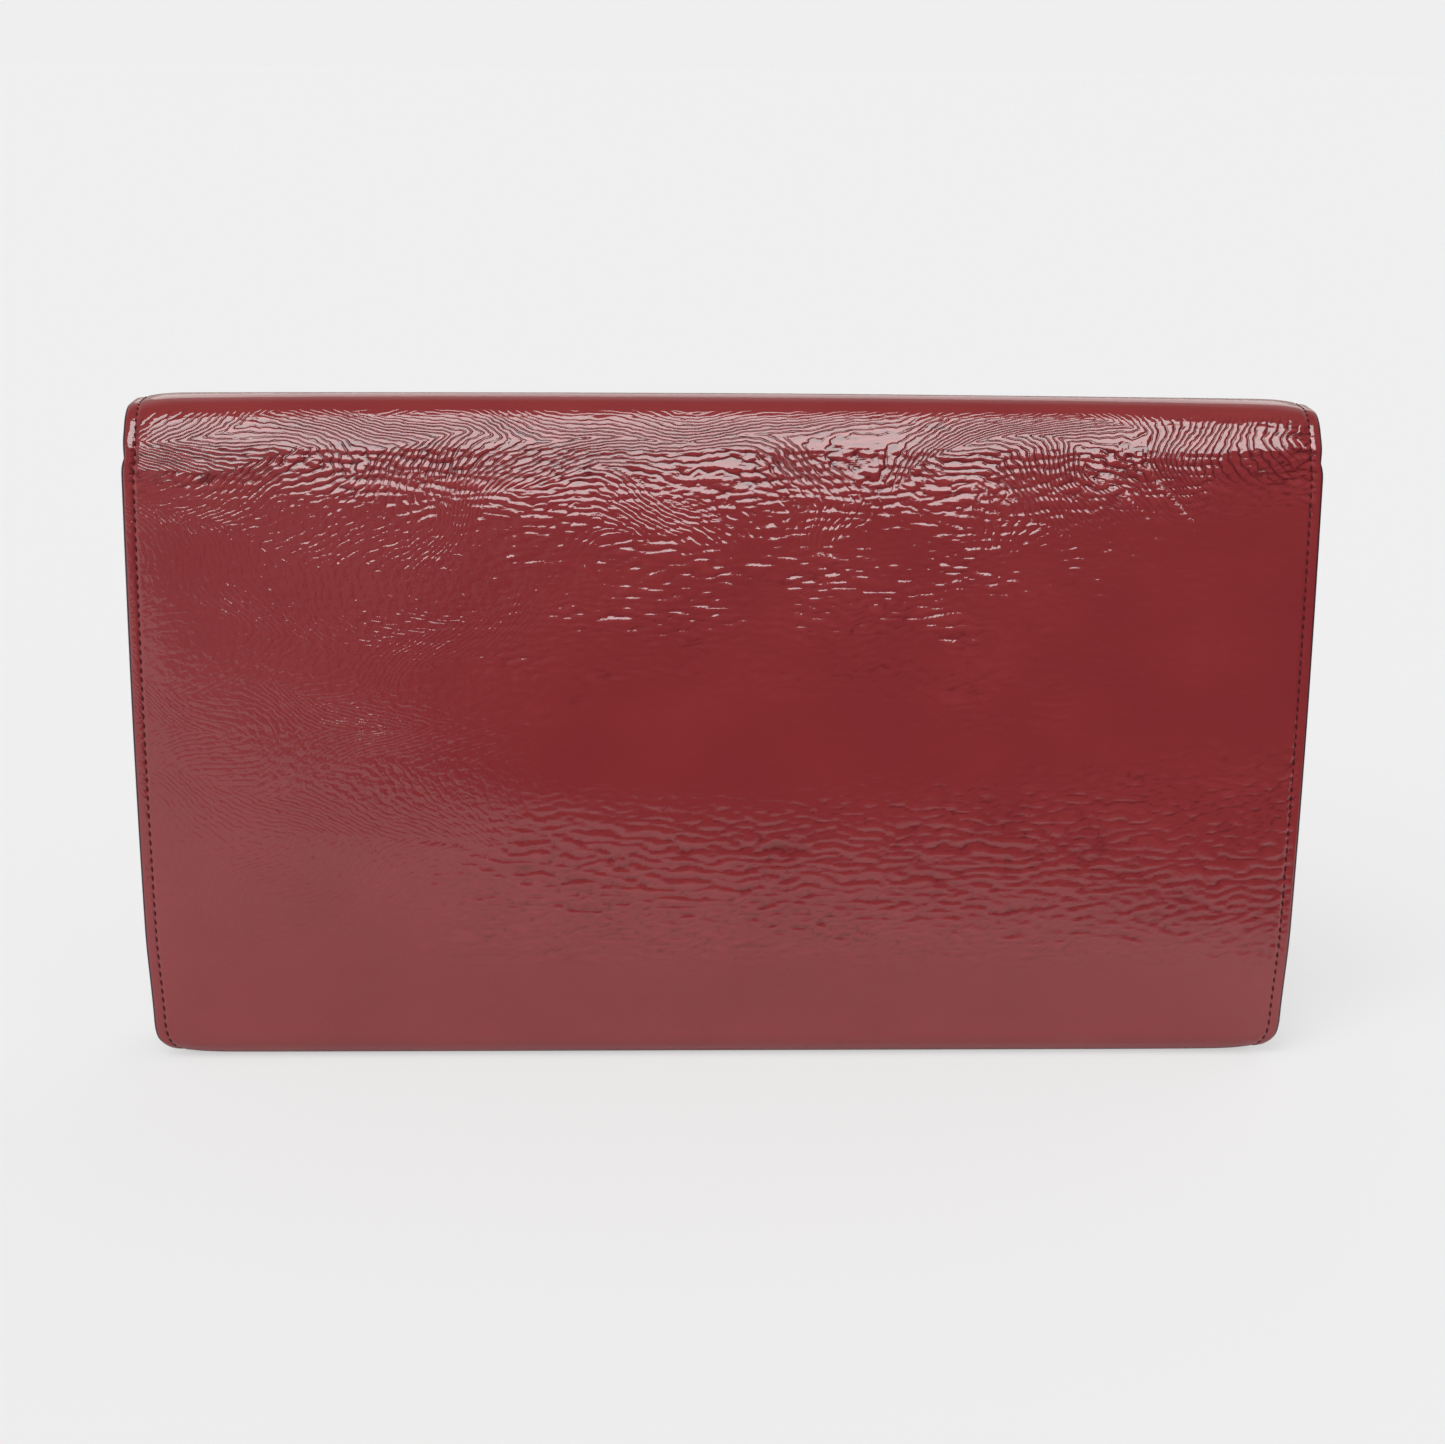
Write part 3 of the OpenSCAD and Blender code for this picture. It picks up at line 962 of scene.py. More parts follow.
@dataclass(frozen=True)
class Panel:
    """One panel of the clutch: a stretch of skin with its outline and its padded relief.

    A point of it has x across the width, s along the skin and a depth under the face, in mm.

    Attributes:
        skin: the outer face that it follows.
        s0: where it starts along the skin.
        s1: where it ends.
        sizes: the clutch's sizes.
        bow: (s, outward mm) knots of the padded swell along its middle.
        end_r: corner rounding at s1, or 0 where it ends at a crease.
        sewn: True where the gussets are sewn to it, which fills its sides out below the mouth.
        seed: number for its crease pattern.
    """

    skin: Skin
    s0: float
    s1: float
    sizes: Sizes
    bow: tuple[tuple[float, float], ...]
    end_r: float
    seed: int
    sewn: bool = False

    @property
    def wide(self) -> float:
        """Half the width where the corner at s1 starts."""
        return float(self.half(np.array(self.s1 - self.end_r)))

    def half(self, s: Array) -> Array:
        """Half the width at s: full, less an elliptic corner by the base and a round one at s1.

        Args:
            s: along the skin, in mm.

        Returns:
            Half the width at each s, in mm.
        """
        k = self.sizes
        z = self.skin.at(s)[1]
        fill = k.side_fill * (0.5 + 0.5 * np.sin(np.pi * np.clip(z / k.mouth_z, 0, 1)))
        fill = self.sewn * fill * smooth((k.mouth_z + 1.5 - z) / 5) * smooth((z - 4) / 30)
        up = 1 - np.clip(z, 0, k.corner_up) / k.corner_up
        low = k.corner_across * (1 - np.sqrt(np.clip(1 - up**2, 0, 1)))
        if not self.end_r:
            return k.half_w + fill - low
        near = 1 - np.clip(self.s1 - s, 0, self.end_r) / self.end_r
        return k.half_w + fill - low - self.end_r * (1 - np.sqrt(np.clip(1 - near**2, 0, 1)))

    def edge(self, x: Array, s: Array) -> Array:
        """Distance to the nearest finished edge, in mm, and 0 past it.

        Args:
            x: across the width, in mm.
            s: along the skin, in mm.

        Returns:
            The distance at each point.
        """
        across = self.half(s) - np.abs(x)
        if not self.end_r:
            return np.maximum(across, 0)
        r = self.end_r
        from_end = self.s1 - s
        dx, ds = np.abs(x) - (self.wide - r), r - from_end
        corner = r - np.hypot(np.maximum(dx, 0), np.maximum(ds, 0))
        inside = np.where((dx > 0) & (ds > 0), corner, np.minimum(across, from_end))
        return np.maximum(inside, 0)

    def swell(self, x: Array, s: Array) -> Array:
        """Outward offset of the whole stack: the bow, fading to the sides, less the pinched seam.

        Args:
            x: across the width, in mm.
            s: along the skin, in mm.

        Returns:
            The offset at each point, in mm.
        """
        share = np.clip(np.abs(x) / self.sizes.half_w, 0, 1)
        middle = spline(self.bow, s) * (1 - share**5)
        near = self.edge(x, s)
        fold = smooth((self.skin.at(s)[1] - self.sizes.body_h + self.sizes.top_r) / 6)
        pinch = 0.75 * np.exp(-((near / 5.5) ** 2)) + 0.25 * np.exp(-near / 14)
        sag = 0.45 * np.exp(-((near / 3.2) ** 2)) + 0.5 * share**2 + 0.25 * smooth(x / 120)
        return middle - pinch - fold * sag

    def at(self, x: Array, s: Array, depth: Array = 0.0, extra: Array = 0.0) -> Array:
        """Place of points under the face: skin point + outward direction x (swell + extra - depth).

        Args:
            x: across the width, in mm.
            s: along the skin, in mm.
            depth: below the face, in mm.
            extra: fine relief above the swell, in mm.

        Returns:
            An array with a last axis of 3.
        """
        x, s = np.broadcast_arrays(np.asarray(x, float), np.asarray(s, float))
        y, z, ny, nz = self.skin.at(s)
        out = self.swell(x, s) + extra - depth
        return np.stack([x, y + ny * out, z + nz * out], axis=-1)

    def rims(self, inset: float, step: float) -> list[Array]:
        """Lines along the finished edges, as rows of (x, s, outward x, outward s).

        Args:
            inset: distance inside the edge, in mm.
            step: distance between points, in mm.

        Returns:
            One line for each unbroken edge.
        """
        s = np.linspace(self.s0, self.s1 - self.end_r, 400)
        left = np.stack([-(self.half(s) - inset), s], axis=1)
        right = (left * [-1, 1])[::-1]
        if self.end_r:
            turn = np.linspace(0, math.pi / 2, 60)[1:]
            r = max(self.end_r - inset, 0.01)
            mid = np.array([-(self.wide - self.end_r), self.s1 - self.end_r])
            arc = mid + r * np.stack([-np.cos(turn), np.sin(turn)], axis=1)
            lines = [np.concatenate([left, arc, (arc * [-1, 1])[::-1], right])]
        else:
            lines = [left, right]
        return [resample(line, step) for line in lines]


def resample(line: Array, step: float) -> Array:
    """Evenly spaced points on a line in (x, s), each with the direction to the line's left.

    Args:
        line: (n, 2) corners of the line, in mm.
        step: distance between points, in mm.

    Returns:
        Rows of (x, s, left x, left s).
    """
    run = np.concatenate([[0], np.cumsum(np.linalg.norm(np.diff(line, axis=0), axis=1))])
    at = np.linspace(0, run[-1], max(2, round(run[-1] / step) + 1))
    points = np.stack([np.interp(at, run, line[:, k]) for k in (0, 1)], axis=1)
    ahead = np.gradient(points, axis=0)
    ahead /= np.linalg.norm(ahead, axis=1, keepdims=True)
    return np.concatenate([points, np.stack([-ahead[:, 1], ahead[:, 0]], axis=1)], axis=1)


class Zone(Enum):
    """How strongly the lacquer is creased on each panel."""

    BACK = "back"
    FLAP = "flap"
    FRONT = "front"


@dataclass(frozen=True)
class Hide:
    """The patent leather of one panel: creased outer face, cut edges and a plain inner face.

    Attributes:
        name: the piece's name.
        panel: the panel that it covers.
        zone: where its creases lie.
        row_steps: (s, distance between rows there) in mm.
        column_step: distance between columns in mm.
    """

    name: str
    panel: Panel
    zone: Zone
    row_steps: tuple[tuple[float, float], ...]
    column_step: float

    CREASE_MM = 0.12
    PEBBLE_MM = 0.035
    INNER_SKIP = 6
    # Distances in mm from a stitched edge: close together round the stitches' groove.
    NEAR = (0, 0.12, 0.3, 0.55, 0.9, 1.3, 1.7, 1.95, 2.15, 2.3, 2.5, 2.65, 2.9, 3.2, 3.6, 4.1, 4.8, 5.6)
    # (depth in mm, distance from the edge, width) of the groove, the ridge beside it and the rim.
    SEAM = ((-0.24, 2.4, 0.45), (0.05, 3.4, 0.5), (0.06, 1.2, 0.6))

    def columns(self) -> Array:
        """Distances across the width: close together by the stitched edge, even in the middle.

        Returns:
            x of each column, in mm, from left to right.
        """
        half, near = self.panel.sizes.half_w, np.array(self.NEAR)
        count = round((half - near[-1] - self.column_step) / self.column_step)
        count += (-(count + len(near))) % self.INNER_SKIP
        inner = np.linspace(half - near[-1] - self.column_step, 0, count + 1)
        side = np.concatenate([half - near, inner[:-1]])
        return np.concatenate([-side, [0], side[::-1]])

    def rows(self) -> Array:
        """Places along the skin, spaced by row_steps, and close together by a finished end.

        Returns:
            s of each row, in mm, in rising order.
        """
        at, step = np.array(self.row_steps, float).T
        s = np.linspace(self.panel.s0, self.panel.s1, 6000)
        count = np.concatenate([[0], np.cumsum(np.diff(s) / np.interp(s[1:], at, step))])
        n = round(count[-1] / self.INNER_SKIP) * self.INNER_SKIP
        rows = np.interp(np.linspace(0, count[-1], n + 1), count, s)
        if not self.panel.end_r:
            return rows
        tail = self.panel.s1 - np.array(self.NEAR)[::-1]
        head = rows[rows < tail[0] - 0.2]
        n = len(head) - (len(head) + len(tail) - 1) % self.INNER_SKIP
        even = np.interp(np.linspace(0, len(head) - 1, n), np.arange(len(head)), head)
        return np.concatenate([even, tail])

    def strength(self, x: Array, s: Array) -> tuple[Array, Array, Array]:
        """Share of creasing, of fine pebble and of hair creases at each point, from 0 to 1.

        On the back, creases fill a band under the top fold that reaches lower in the middle,
        and a second, softer band above the base. The left side is calm and pebbled. Hair
        creases fill the top band down to its foot. The flap and front are lightly creased.

        Args:
            x: across the width, in mm.
            s: along the skin, in mm.

        Returns:
            The three shares.
        """
        z, seed = self.panel.skin.at(s)[1], self.panel.seed
        if self.zone is not Zone.BACK:
            share = 0.3 + 0.5 * smooth(0.5 + 0.5 * noise(x / 60, s / 45, seed + 40))
            if self.zone is Zone.FLAP:
                share = share * smooth((s - self.panel.s0 - 4) / 12)
            return share, 0.3 + 0.4 * (1 - share), 0 * share
        foot = 128 + 17 * smooth((-x - 20) / 100) + 10 * smooth((x - 40) / 90)
        below = smooth((foot + 2 - z) / 12)
        top = smooth((z - 80 + 0.22 * np.abs(x)) / 30)
        top = top * (1 - 0.5 * smooth((x - 45) / 60) * below)
        top = top * (0.75 + 0.5 * smooth(0.5 + noise(x / 16, s / 9, seed + 50)))
        low = smooth((z - 16) / 16) * smooth((84 + 0.12 * x - z) / 30)
        left = smooth((-38 - x + 0.2 * (z - 80)) / 50) * below
        crease = np.maximum(top * (1 + 0.6 * smooth((134 - z) / 12)), 2.1 * low)
        crease = np.maximum(crease * (1 - 0.85 * left), 0.14 * smooth((z - 8) / 20))
        fold = smooth((s - self.panel.s1 + 13.5) / 7)
        pebble = 0.2 + 0.8 * left * smooth((z - 8) / 30)
        ends = 0.2 + 0.35 * smooth((np.abs(x + 8) - 35) / 50) * smooth((128 - np.abs(x)) / 25)
        hair = np.maximum(smooth((z - 141) / 7), ends * smooth((z - foot + 3) / 8))
        hair = hair * (1 - fold) * smooth((139 - np.abs(x)) / 9)
        return crease * (1 - 0.92 * fold), pebble * (1 - 0.8 * fold), hair

    def relief(self, x: Array, s: Array) -> tuple[Array, dict[str, Array]]:
        """Fine relief of the face in mm, with its marks for the lacquer's material.

        Args:
            x: across the width, in mm.
            s: along the skin, in mm.

        Returns:
            The height, and marks: painted crease shading, from 1 for painted shade in a crease's floor
            to below 0 for a painted highlight on the crests, pebble and hair lines from 0 to 1, and the
            hair lines' phase.
        """
        seed = self.panel.seed
        near = self.panel.edge(x, s)
        calm = smooth((near - 0.4) / 1.2)
        crease, pebble, hair = self.strength(x, s)
        pillow = crinkle(x, s, seed)
        small = 0.5 * noise(x / 2.3, s / 1.7, seed + 9)
        height = calm * (self.CREASE_MM * crease * (pillow - 0.6) + self.PEBBLE_MM * pebble * small)
        for deep, middle, wide in self.SEAM:
            height += deep * np.exp(-(((near - middle) / wide) ** 2))
        corner = 1 - np.clip(near / 0.55, 0, 1)
        height -= 0.5 * (1 - np.sqrt(1 - corner**2))
        # Painted shade in the creases' floors and painted highlight on their crests: 0.35 of full strength below 134
        # mm, full from 146 mm up.
        shaded = 0.35 + 0.65 * smooth((self.panel.skin.at(s)[1] - 134) / 12)
        painted_crease_shading = (1 - 1.6 * pillow) * crease * calm * shaded
        phase = strands(x, s, seed + 60)
        return height, {"crease": painted_crease_shading, "grain": pebble, "hair": hair, "phase": phase}

    def build(self, finishes: Finishes) -> bpy.types.Object:
        """Make the hide's mesh and dress it.

        The inner face has one row and column for every INNER_SKIP of the outer, so a fan and a
        triangle join each of its border edges to the wall.

        Args:
            finishes: every finish of the clutch.

        Returns:
            The new piece.
        """
        panel, k, skip = self.panel, self.panel.sizes, self.INNER_SKIP
        cols, rows = self.columns(), self.rows()
        s = np.broadcast_to(rows[:, None], (len(rows), len(cols)))
        share = np.abs(cols[None, :]) / k.half_w
        x = cols[None, :] + np.sign(cols) * (panel.half(s) - k.half_w) * share**3
        height, marks = self.relief(x, s)
        face = panel.at(x, s, 0, height)
        ring = ring_of(*x.shape)
        wall = panel.at(x.ravel()[ring], s.ravel()[ring], k.leather_t)
        xi = x[::skip, ::skip] * (1 - 1.2 / k.half_w)
        si = np.clip(s[::skip, ::skip], panel.s0 + 0.9, panel.s1 - 0.9)
        inner = panel.at(xi, si, k.leather_t)
        start, count = x.size, len(ring)
        first = start + count
        inner_ring = first + ring_of(*xi.shape)
        this = np.arange(count)
        nxt = np.roll(this, -1)
        join = start + (np.arange(1, len(inner_ring) + 1) * skip) % count
        faces = [
            grid_faces(*x.shape),
            np.stack([ring, ring[nxt], start + nxt, start + this], axis=1),
            np.stack([start + this, start + nxt, inner_ring[this // skip]], axis=1),
            np.stack([inner_ring, join, np.roll(inner_ring, -1)], axis=1),
            grid_faces(*xi.shape, start=first)[:, ::-1],
        ]
        points = np.concatenate([face.reshape(-1, 3), wall, inner.reshape(-1, 3)])
        uv = [np.concatenate([v.ravel(), v.ravel()[ring], vi.ravel()]) for v, vi in ((x, xi), (s, si))]
        plain = np.zeros(count + xi.size)
        marks = {name: np.concatenate([mark.ravel(), plain]) for name, mark in marks.items()}
        uv = np.stack([uv[0], uv[1] + UV_SHIFT], axis=1)
        piece = write_piece(self.name, points, faces, finishes.patent, uv, marks)
        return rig.slot(piece, Slot.PATENT.value)


# ---------------------------------------------------------------------------
# what lies along and under a panel


@dataclass(frozen=True)
class Crease:
    """The fold across which a piece bends: it follows one body before it and another after."""

    before: Body
    after: Body
    start: tuple[float, float, float]
    end: tuple[float, float, float]

    def bend(self, piece: bpy.types.Object) -> bpy.types.Object:
        """Blend a finished piece across the fold."""
        start, end = ([v * MM for v in p] for p in (self.start, self.end))
        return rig.blend(piece, self.before.value, self.after.value, start, end)


@dataclass(frozen=True)
class Layer:
    """One soft layer under a panel's hide, between two depths that pinch together at its edge."""

    name: str
    panel: Panel
    top: float
    under: float
    edge_top: float
    edge_under: float
    step: float = 3.0

    def build(
        self, material: bpy.types.Material, slot: Slot, inset: float, seam_inset: float = 0
    ) -> bpy.types.Object:
        """Make the layer.

        Args:
            material: its finish.
            slot: the record's slot.
            inset: distance from the panel's edge where no gusset is sewn, in mm.
            seam_inset: distance from the edge below the mouth, in mm, or 0 for the same.

        Returns:
            The new piece.
        """
        panel, k = self.panel, self.panel.sizes
        end = panel.s1 - (inset if panel.end_r else 0)
        rows = np.linspace(panel.s0, end, round((end - panel.s0) / self.step) + 1)
        fine = end - np.array([0.2, 0.6, 1.2, 2.2, 3.5, 5]) if panel.end_r else np.empty(0)
        rows = np.unique(np.concatenate([rows, fine]))
        z = panel.skin.at(rows)[1]
        gap = np.full(len(rows), float(inset))
        if seam_inset:
            gap = inset + (seam_inset - inset) * smooth((k.mouth_z + 1 - z) / 2)
        half = np.maximum(panel.half(rows) - gap, 5)
        share = np.linspace(-1, 1, 2 * round(k.half_w / self.step) + 1)
        share = np.sign(share) * (1 - (1 - np.abs(share)) ** 1.5)
        x = share[None, :] * half[:, None]
        s = np.broadcast_to(rows[:, None], x.shape)
        open_edge = 1 - smooth((panel.edge(x, s) - 1) / 9)
        if seam_inset:
            open_edge = open_edge * smooth((z[:, None] - k.mouth_z + 4) / 6)
            open_edge = np.maximum(open_edge, 1 - smooth((half[:, None] - np.abs(x)) / 2.6))
        top = self.top + (self.edge_top - self.top) * open_edge
        under = self.under + (self.edge_under - self.under) * open_edge
        points, faces = slab(panel.at(x, s, top), panel.at(x, s, under))
        uv = np.tile(np.stack([x.ravel(), s.ravel() + UV_SHIFT], axis=1), (2, 1))
        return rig.slot(write_piece(self.name, points, faces, material, uv), slot.value)


@dataclass(frozen=True)
class PaintedEdge:
    """Rounded bead of edge dye over the cut edges of the leather and what is sewn to it."""

    name: str
    panel: Panel
    thickness: float = 1.9
    proud: float = 0.5
    tucked: float = 0.15
    face_drop: float = 0.22
    step: float = 1.2

    def build(self, finishes: Finishes) -> bpy.types.Object:
        """Make the bead: an ellipse carried along the edge, a little thinner at a gusset's end.

        Args:
            finishes: every finish of the clutch.

        Returns:
            The new piece.
        """
        turn = np.linspace(0, 2 * math.pi, 10, endpoint=False)[None, :]
        half = self.thickness / 2
        parts = []
        for rim in self.panel.rims(0, self.step):
            x, s, ox, os_ = rim.T[:, :, None]
            z = self.panel.skin.at(s)[1]
            notch = 0.22 * np.exp(-(((z - self.panel.sizes.mouth_z) / 0.9) ** 2))
            out = (self.proud + self.tucked - notch) * np.cos(turn) - self.tucked
            depth = self.face_drop + half + half * np.sin(turn) * (1 - 0.3 * notch)
            parts.append(tube(self.panel.at(x + ox * out, s + os_ * out, depth)[None]))
        return write_piece(self.name, *joined(parts), finishes.paint, sharp=70)


@dataclass(frozen=True)
class Stitching:
    """A row of lock stitches: short threads that dive into the leather at both ends."""

    name: str
    panel: Panel
    depth: float
    up: int
    pitch: float = 2.25
    length: float = 1.85
    thick: float = 0.5
    slant: float = 0.06
    dive: float = 0.34
    twist_shift: float = 0.37

    def build(self, finishes: Finishes) -> bpy.types.Object:
        """Make every stitch of the row in one mesh.

        Along a stitch, a runs from -1 to 1: its place is a half lengths ahead, its height falls
        as a squared, and its round section shrinks towards both ends.

        Args:
            finishes: every finish of the clutch.

        Returns:
            The new piece.
        """
        a = np.array([-1, -0.72, 0, 0.72, 1])[:, None]
        turn = np.linspace(0, 2 * math.pi, 7)[:-1][None, :]
        width = np.sqrt(np.clip(1 - 0.75 * a**4, 0, 1)) * self.thick / 2
        along = a * self.length / 2 + 0 * turn
        across = width * np.cos(turn) + self.slant * self.length * a
        lift = width * np.sin(turn) * 0.8 - self.dive * a**2
        rings = []
        for line in self.panel.rims(self.panel.sizes.stitch_inset, self.pitch):
            x, s, ox, os_ = line[:-1].T[:, :, None, None]
            half_x, half_s = np.diff(line[:, :2], axis=0).T[:, :, None, None] / 2
            px = x + half_x + os_ * along + ox * across
            ps = s + half_s - ox * along + os_ * across
            rings.append(self.panel.at(px, ps, self.depth - self.up * lift))
        rings = np.concatenate(rings)
        count = rings.shape[0]
        shift = np.arange(count)[:, None, None] * self.twist_shift
        round_it = np.broadcast_to(np.arange(6) * self.thick / 2, (5, 6))
        uv = np.stack(np.broadcast_arrays(along + shift, round_it[None]), axis=-1)
        uv = np.concatenate([uv.reshape(count, -1, 2), np.zeros((count, 2, 2))], axis=1)
        return write_piece(self.name, *tube(rings), finishes.thread, uv.reshape(-1, 2), sharp=80)


# ---------------------------------------------------------------------------
# sub-assemblies


@dataclass(frozen=True)
class Shapes:
    """The three panels and the folds between them."""

    sizes: Sizes
    back: Panel
    flap: Panel
    front: Panel
    back_crease: Crease
    flap_crease: Crease
    base_crease: Crease


def make_shapes(sizes: Sizes) -> Shapes:
    """Work out the skins and panels from the clutch's sizes.

    Args:
        sizes: the clutch's sizes.

    Returns:
        The panels and folds.
    """
    k = sizes
    lean = math.radians(k.front_lean)
    half_d, roll_z = k.body_d / 2, k.body_h - k.top_r
    fold_y = k.front_face_y - k.base_r
    middle_y = (fold_y - half_d + k.base_r) / 2
    base_run = middle_y + half_d - k.base_r
    base_arc, top_arc = (math.pi / 2 * r for r in (k.base_r, k.top_r))
    wall = roll_z - k.base_r
    top_run = k.body_d - 2 * k.top_r
    flap_run = k.flap_drop - k.top_r
    legs = ((base_run, 0), (base_arc, -90), (wall, 0), (top_arc, -90), (top_run, 0), (top_arc, -90))
    wrap = Skin(start=(middle_y, 0), heading=180, legs=(*legs, (flap_run, 0)), side=1)
    wall_s = base_run + base_arc
    arc_s = wall_s + wall
    top_s = arc_s + top_arc + top_run / 2
    drop_s = top_s + top_run / 2 + top_arc
    end_s = drop_s + flap_run
    z = wall_s - k.base_r
    up = ((20, 0.7), (42, 2.0), (65, 2.6), (90, 2.6), (112, 1.9), (130, 0.6), (142, -0.6), (152, -2.1))
    down = ((-top_arc * 0.4, -0.9), (0, -0.9), (20, 0.2), (48, 1.0), (75, 0.7))
    bow = (
        *((0, 0), (base_run, 0), (wall_s, -0.5)),
        *((z + rise, out) for rise, out in up),
        *((arc_s + top_arc * 0.5, -2.3), (arc_s + top_arc, -0.2)),
        *((top_s, 0.2), (top_s + top_run / 2, 0.0)),
        *((drop_s + fall, out) for fall, out in down),
        *((end_s - 17, 0.1), (end_s, -0.1)),
    )
    legs = (
        (fold_y - middle_y, 0),
        (k.base_r * (math.pi / 2 + lean), 90 + k.front_lean),
        ((k.mouth_z - k.base_r) / math.cos(lean), 0),
    )
    front = Skin(start=(middle_y, 0), heading=0, legs=legs, side=-1)
    front_end = sum(leg[0] for leg in legs)
    front_bow = ((0, 0), (14, 0.1), (40, 0.4), (70, 0.1), (100, 0.5), (130, 0.4), (front_end, 0))
    root, spine, flap = Body.ROOT, Body.SPINE, Body.FLAP
    base = (0, fold_y, 0), (0, fold_y + k.base_r, k.base_r)
    return Shapes(
        sizes=k,
        back=Panel(wrap, 0, top_s, k, bow, 0, 11, sewn=True),
        flap=Panel(wrap, top_s, end_s, k, bow, k.flap_corner_r, 11),
        front=Panel(front, 0, front_end, k, front_bow, 2.0, 57, sewn=True),
        back_crease=Crease(root, spine, (0, -half_d, roll_z), (0, -half_d + k.top_r, k.body_h)),
        flap_crease=Crease(spine, flap, (0, half_d - k.top_r, k.body_h), (0, half_d, roll_z)),
        base_crease=Crease(root, Body.FRONT, *base),
    )


@dataclass(frozen=True)
class Cover:
    """One panel with all that is sewn to it: hide, fleece, lining, stiffener, edge and stitches.

    Attributes:
        name: what its pieces' names start with.
        panel: the panel.
        crease: the fold that it bends across.
        hide: the hide's zone, row steps and column step.
        nodes: frame nodes that the hide, the fleece and the lining replace.
        fleece_inset: the fleece's distance from the edge, and from a sewn edge, in mm.
        cloth_inset: the same for the lining.
        fill: how full the fleece's padding is.
        edge_under: depth of the fleece's under face where it is pinched, in mm.
        cloth_flat: width and height of the lining before it is sewn, in mm.
        board: the stiffener's body, its two ends along the panel and its distance from the edge,
            or none.
        trim: names of the dyed edge and of the stitches.
        under_stitches: name of the stitches that show on the lining, or none.
    """

    name: str
    panel: Panel
    crease: Crease
    hide: tuple[Zone, tuple[tuple[float, float], ...], float]
    nodes: tuple[tuple[str, ...], tuple[str, ...], tuple[str, ...]]
    fleece_inset: tuple[float, ...]
    cloth_inset: tuple[float, ...]
    fill: float
    edge_under: float
    cloth_flat: tuple[float, float]
    board: tuple[Body, float, float, float] | None
    trim: tuple[str, str]
    under_stitches: str = ""

    FACE_DEPTH = 0.13
    LINING_DEPTH = 2.02

    def build(self, finishes: Finishes) -> list[bpy.types.Object]:
        """Make the cover's pieces.

        Args:
            finishes: every finish of the clutch.

        Returns:
            The new pieces.
        """
        panel, k, bend = self.panel, self.panel.sizes, self.crease.bend
        hide = bend(Hide(f"{self.name}_hide", panel, *self.hide).build(finishes))
        fleece = Layer(
            f"{self.name}_fleece", panel, k.leather_t, k.padded_t, 1.15, self.edge_under
        ).build(finishes.fleece, Slot.FLEECE, *self.fleece_inset)
        cloth = Layer(
            f"{self.name}_lining_cloth", panel, k.padded_t, k.stack_t, 1.4, 2.0
        ).build(finishes.lining, Slot.LINING, *self.cloth_inset)
        for piece, nodes in zip((hide, bend(fleece), bend(cloth)), self.nodes):
            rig.replaces(piece, *nodes)
        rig.padded(fleece, fill=self.fill)
        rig.sheet(cloth, flat=tuple(v * MM for v in self.cloth_flat), held="stretched")
        made = [hide, fleece, cloth]
        if self.board:
            made.append(self.stiffener(finishes))
        edge, seam = self.trim
        made.append(bend(PaintedEdge(edge, panel).build(finishes)))
        made.append(bend(Stitching(seam, panel, self.FACE_DEPTH, 1).build(finishes)))
        if self.under_stitches:
            row = Stitching(self.under_stitches, panel, self.LINING_DEPTH, -1)
            made.append(bend(row.build(finishes)))
        return made

    def stiffener(self, finishes: Finishes) -> bpy.types.Object:
        """Board between the fleece and the lining, with round corners by a finished end.

        Args:
            finishes: every finish of the clutch.

        Returns:
            The new piece.
        """
        panel, k, corner_r = self.panel, self.panel.sizes, 7
        body, s0, s1, inset = self.board
        rows = np.linspace(s0, s1, 30)
        in_corner = np.clip(corner_r**2 - (rows - s1 + corner_r) ** 2, 0, corner_r**2)
        narrow = np.where(rows > s1 - corner_r, corner_r - np.sqrt(in_corner), 0)
        half = k.half_w - inset - (narrow if panel.end_r else 0)
        x = np.linspace(-1, 1, 41)[None, :] * np.broadcast_to(half, rows.shape)[:, None]
        s = np.broadcast_to(rows[:, None], x.shape)
        under = k.padded_t - 0.1
        points, faces = slab(panel.at(x, s, under - k.board_t), panel.at(x, s, under))
        board = write_piece(f"{self.name}_stiffener", points, faces, finishes.board)
        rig.slot(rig.ride(board, body.value), Slot.BOARD.value)
        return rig.replaces(board, f"{self.name}_board")


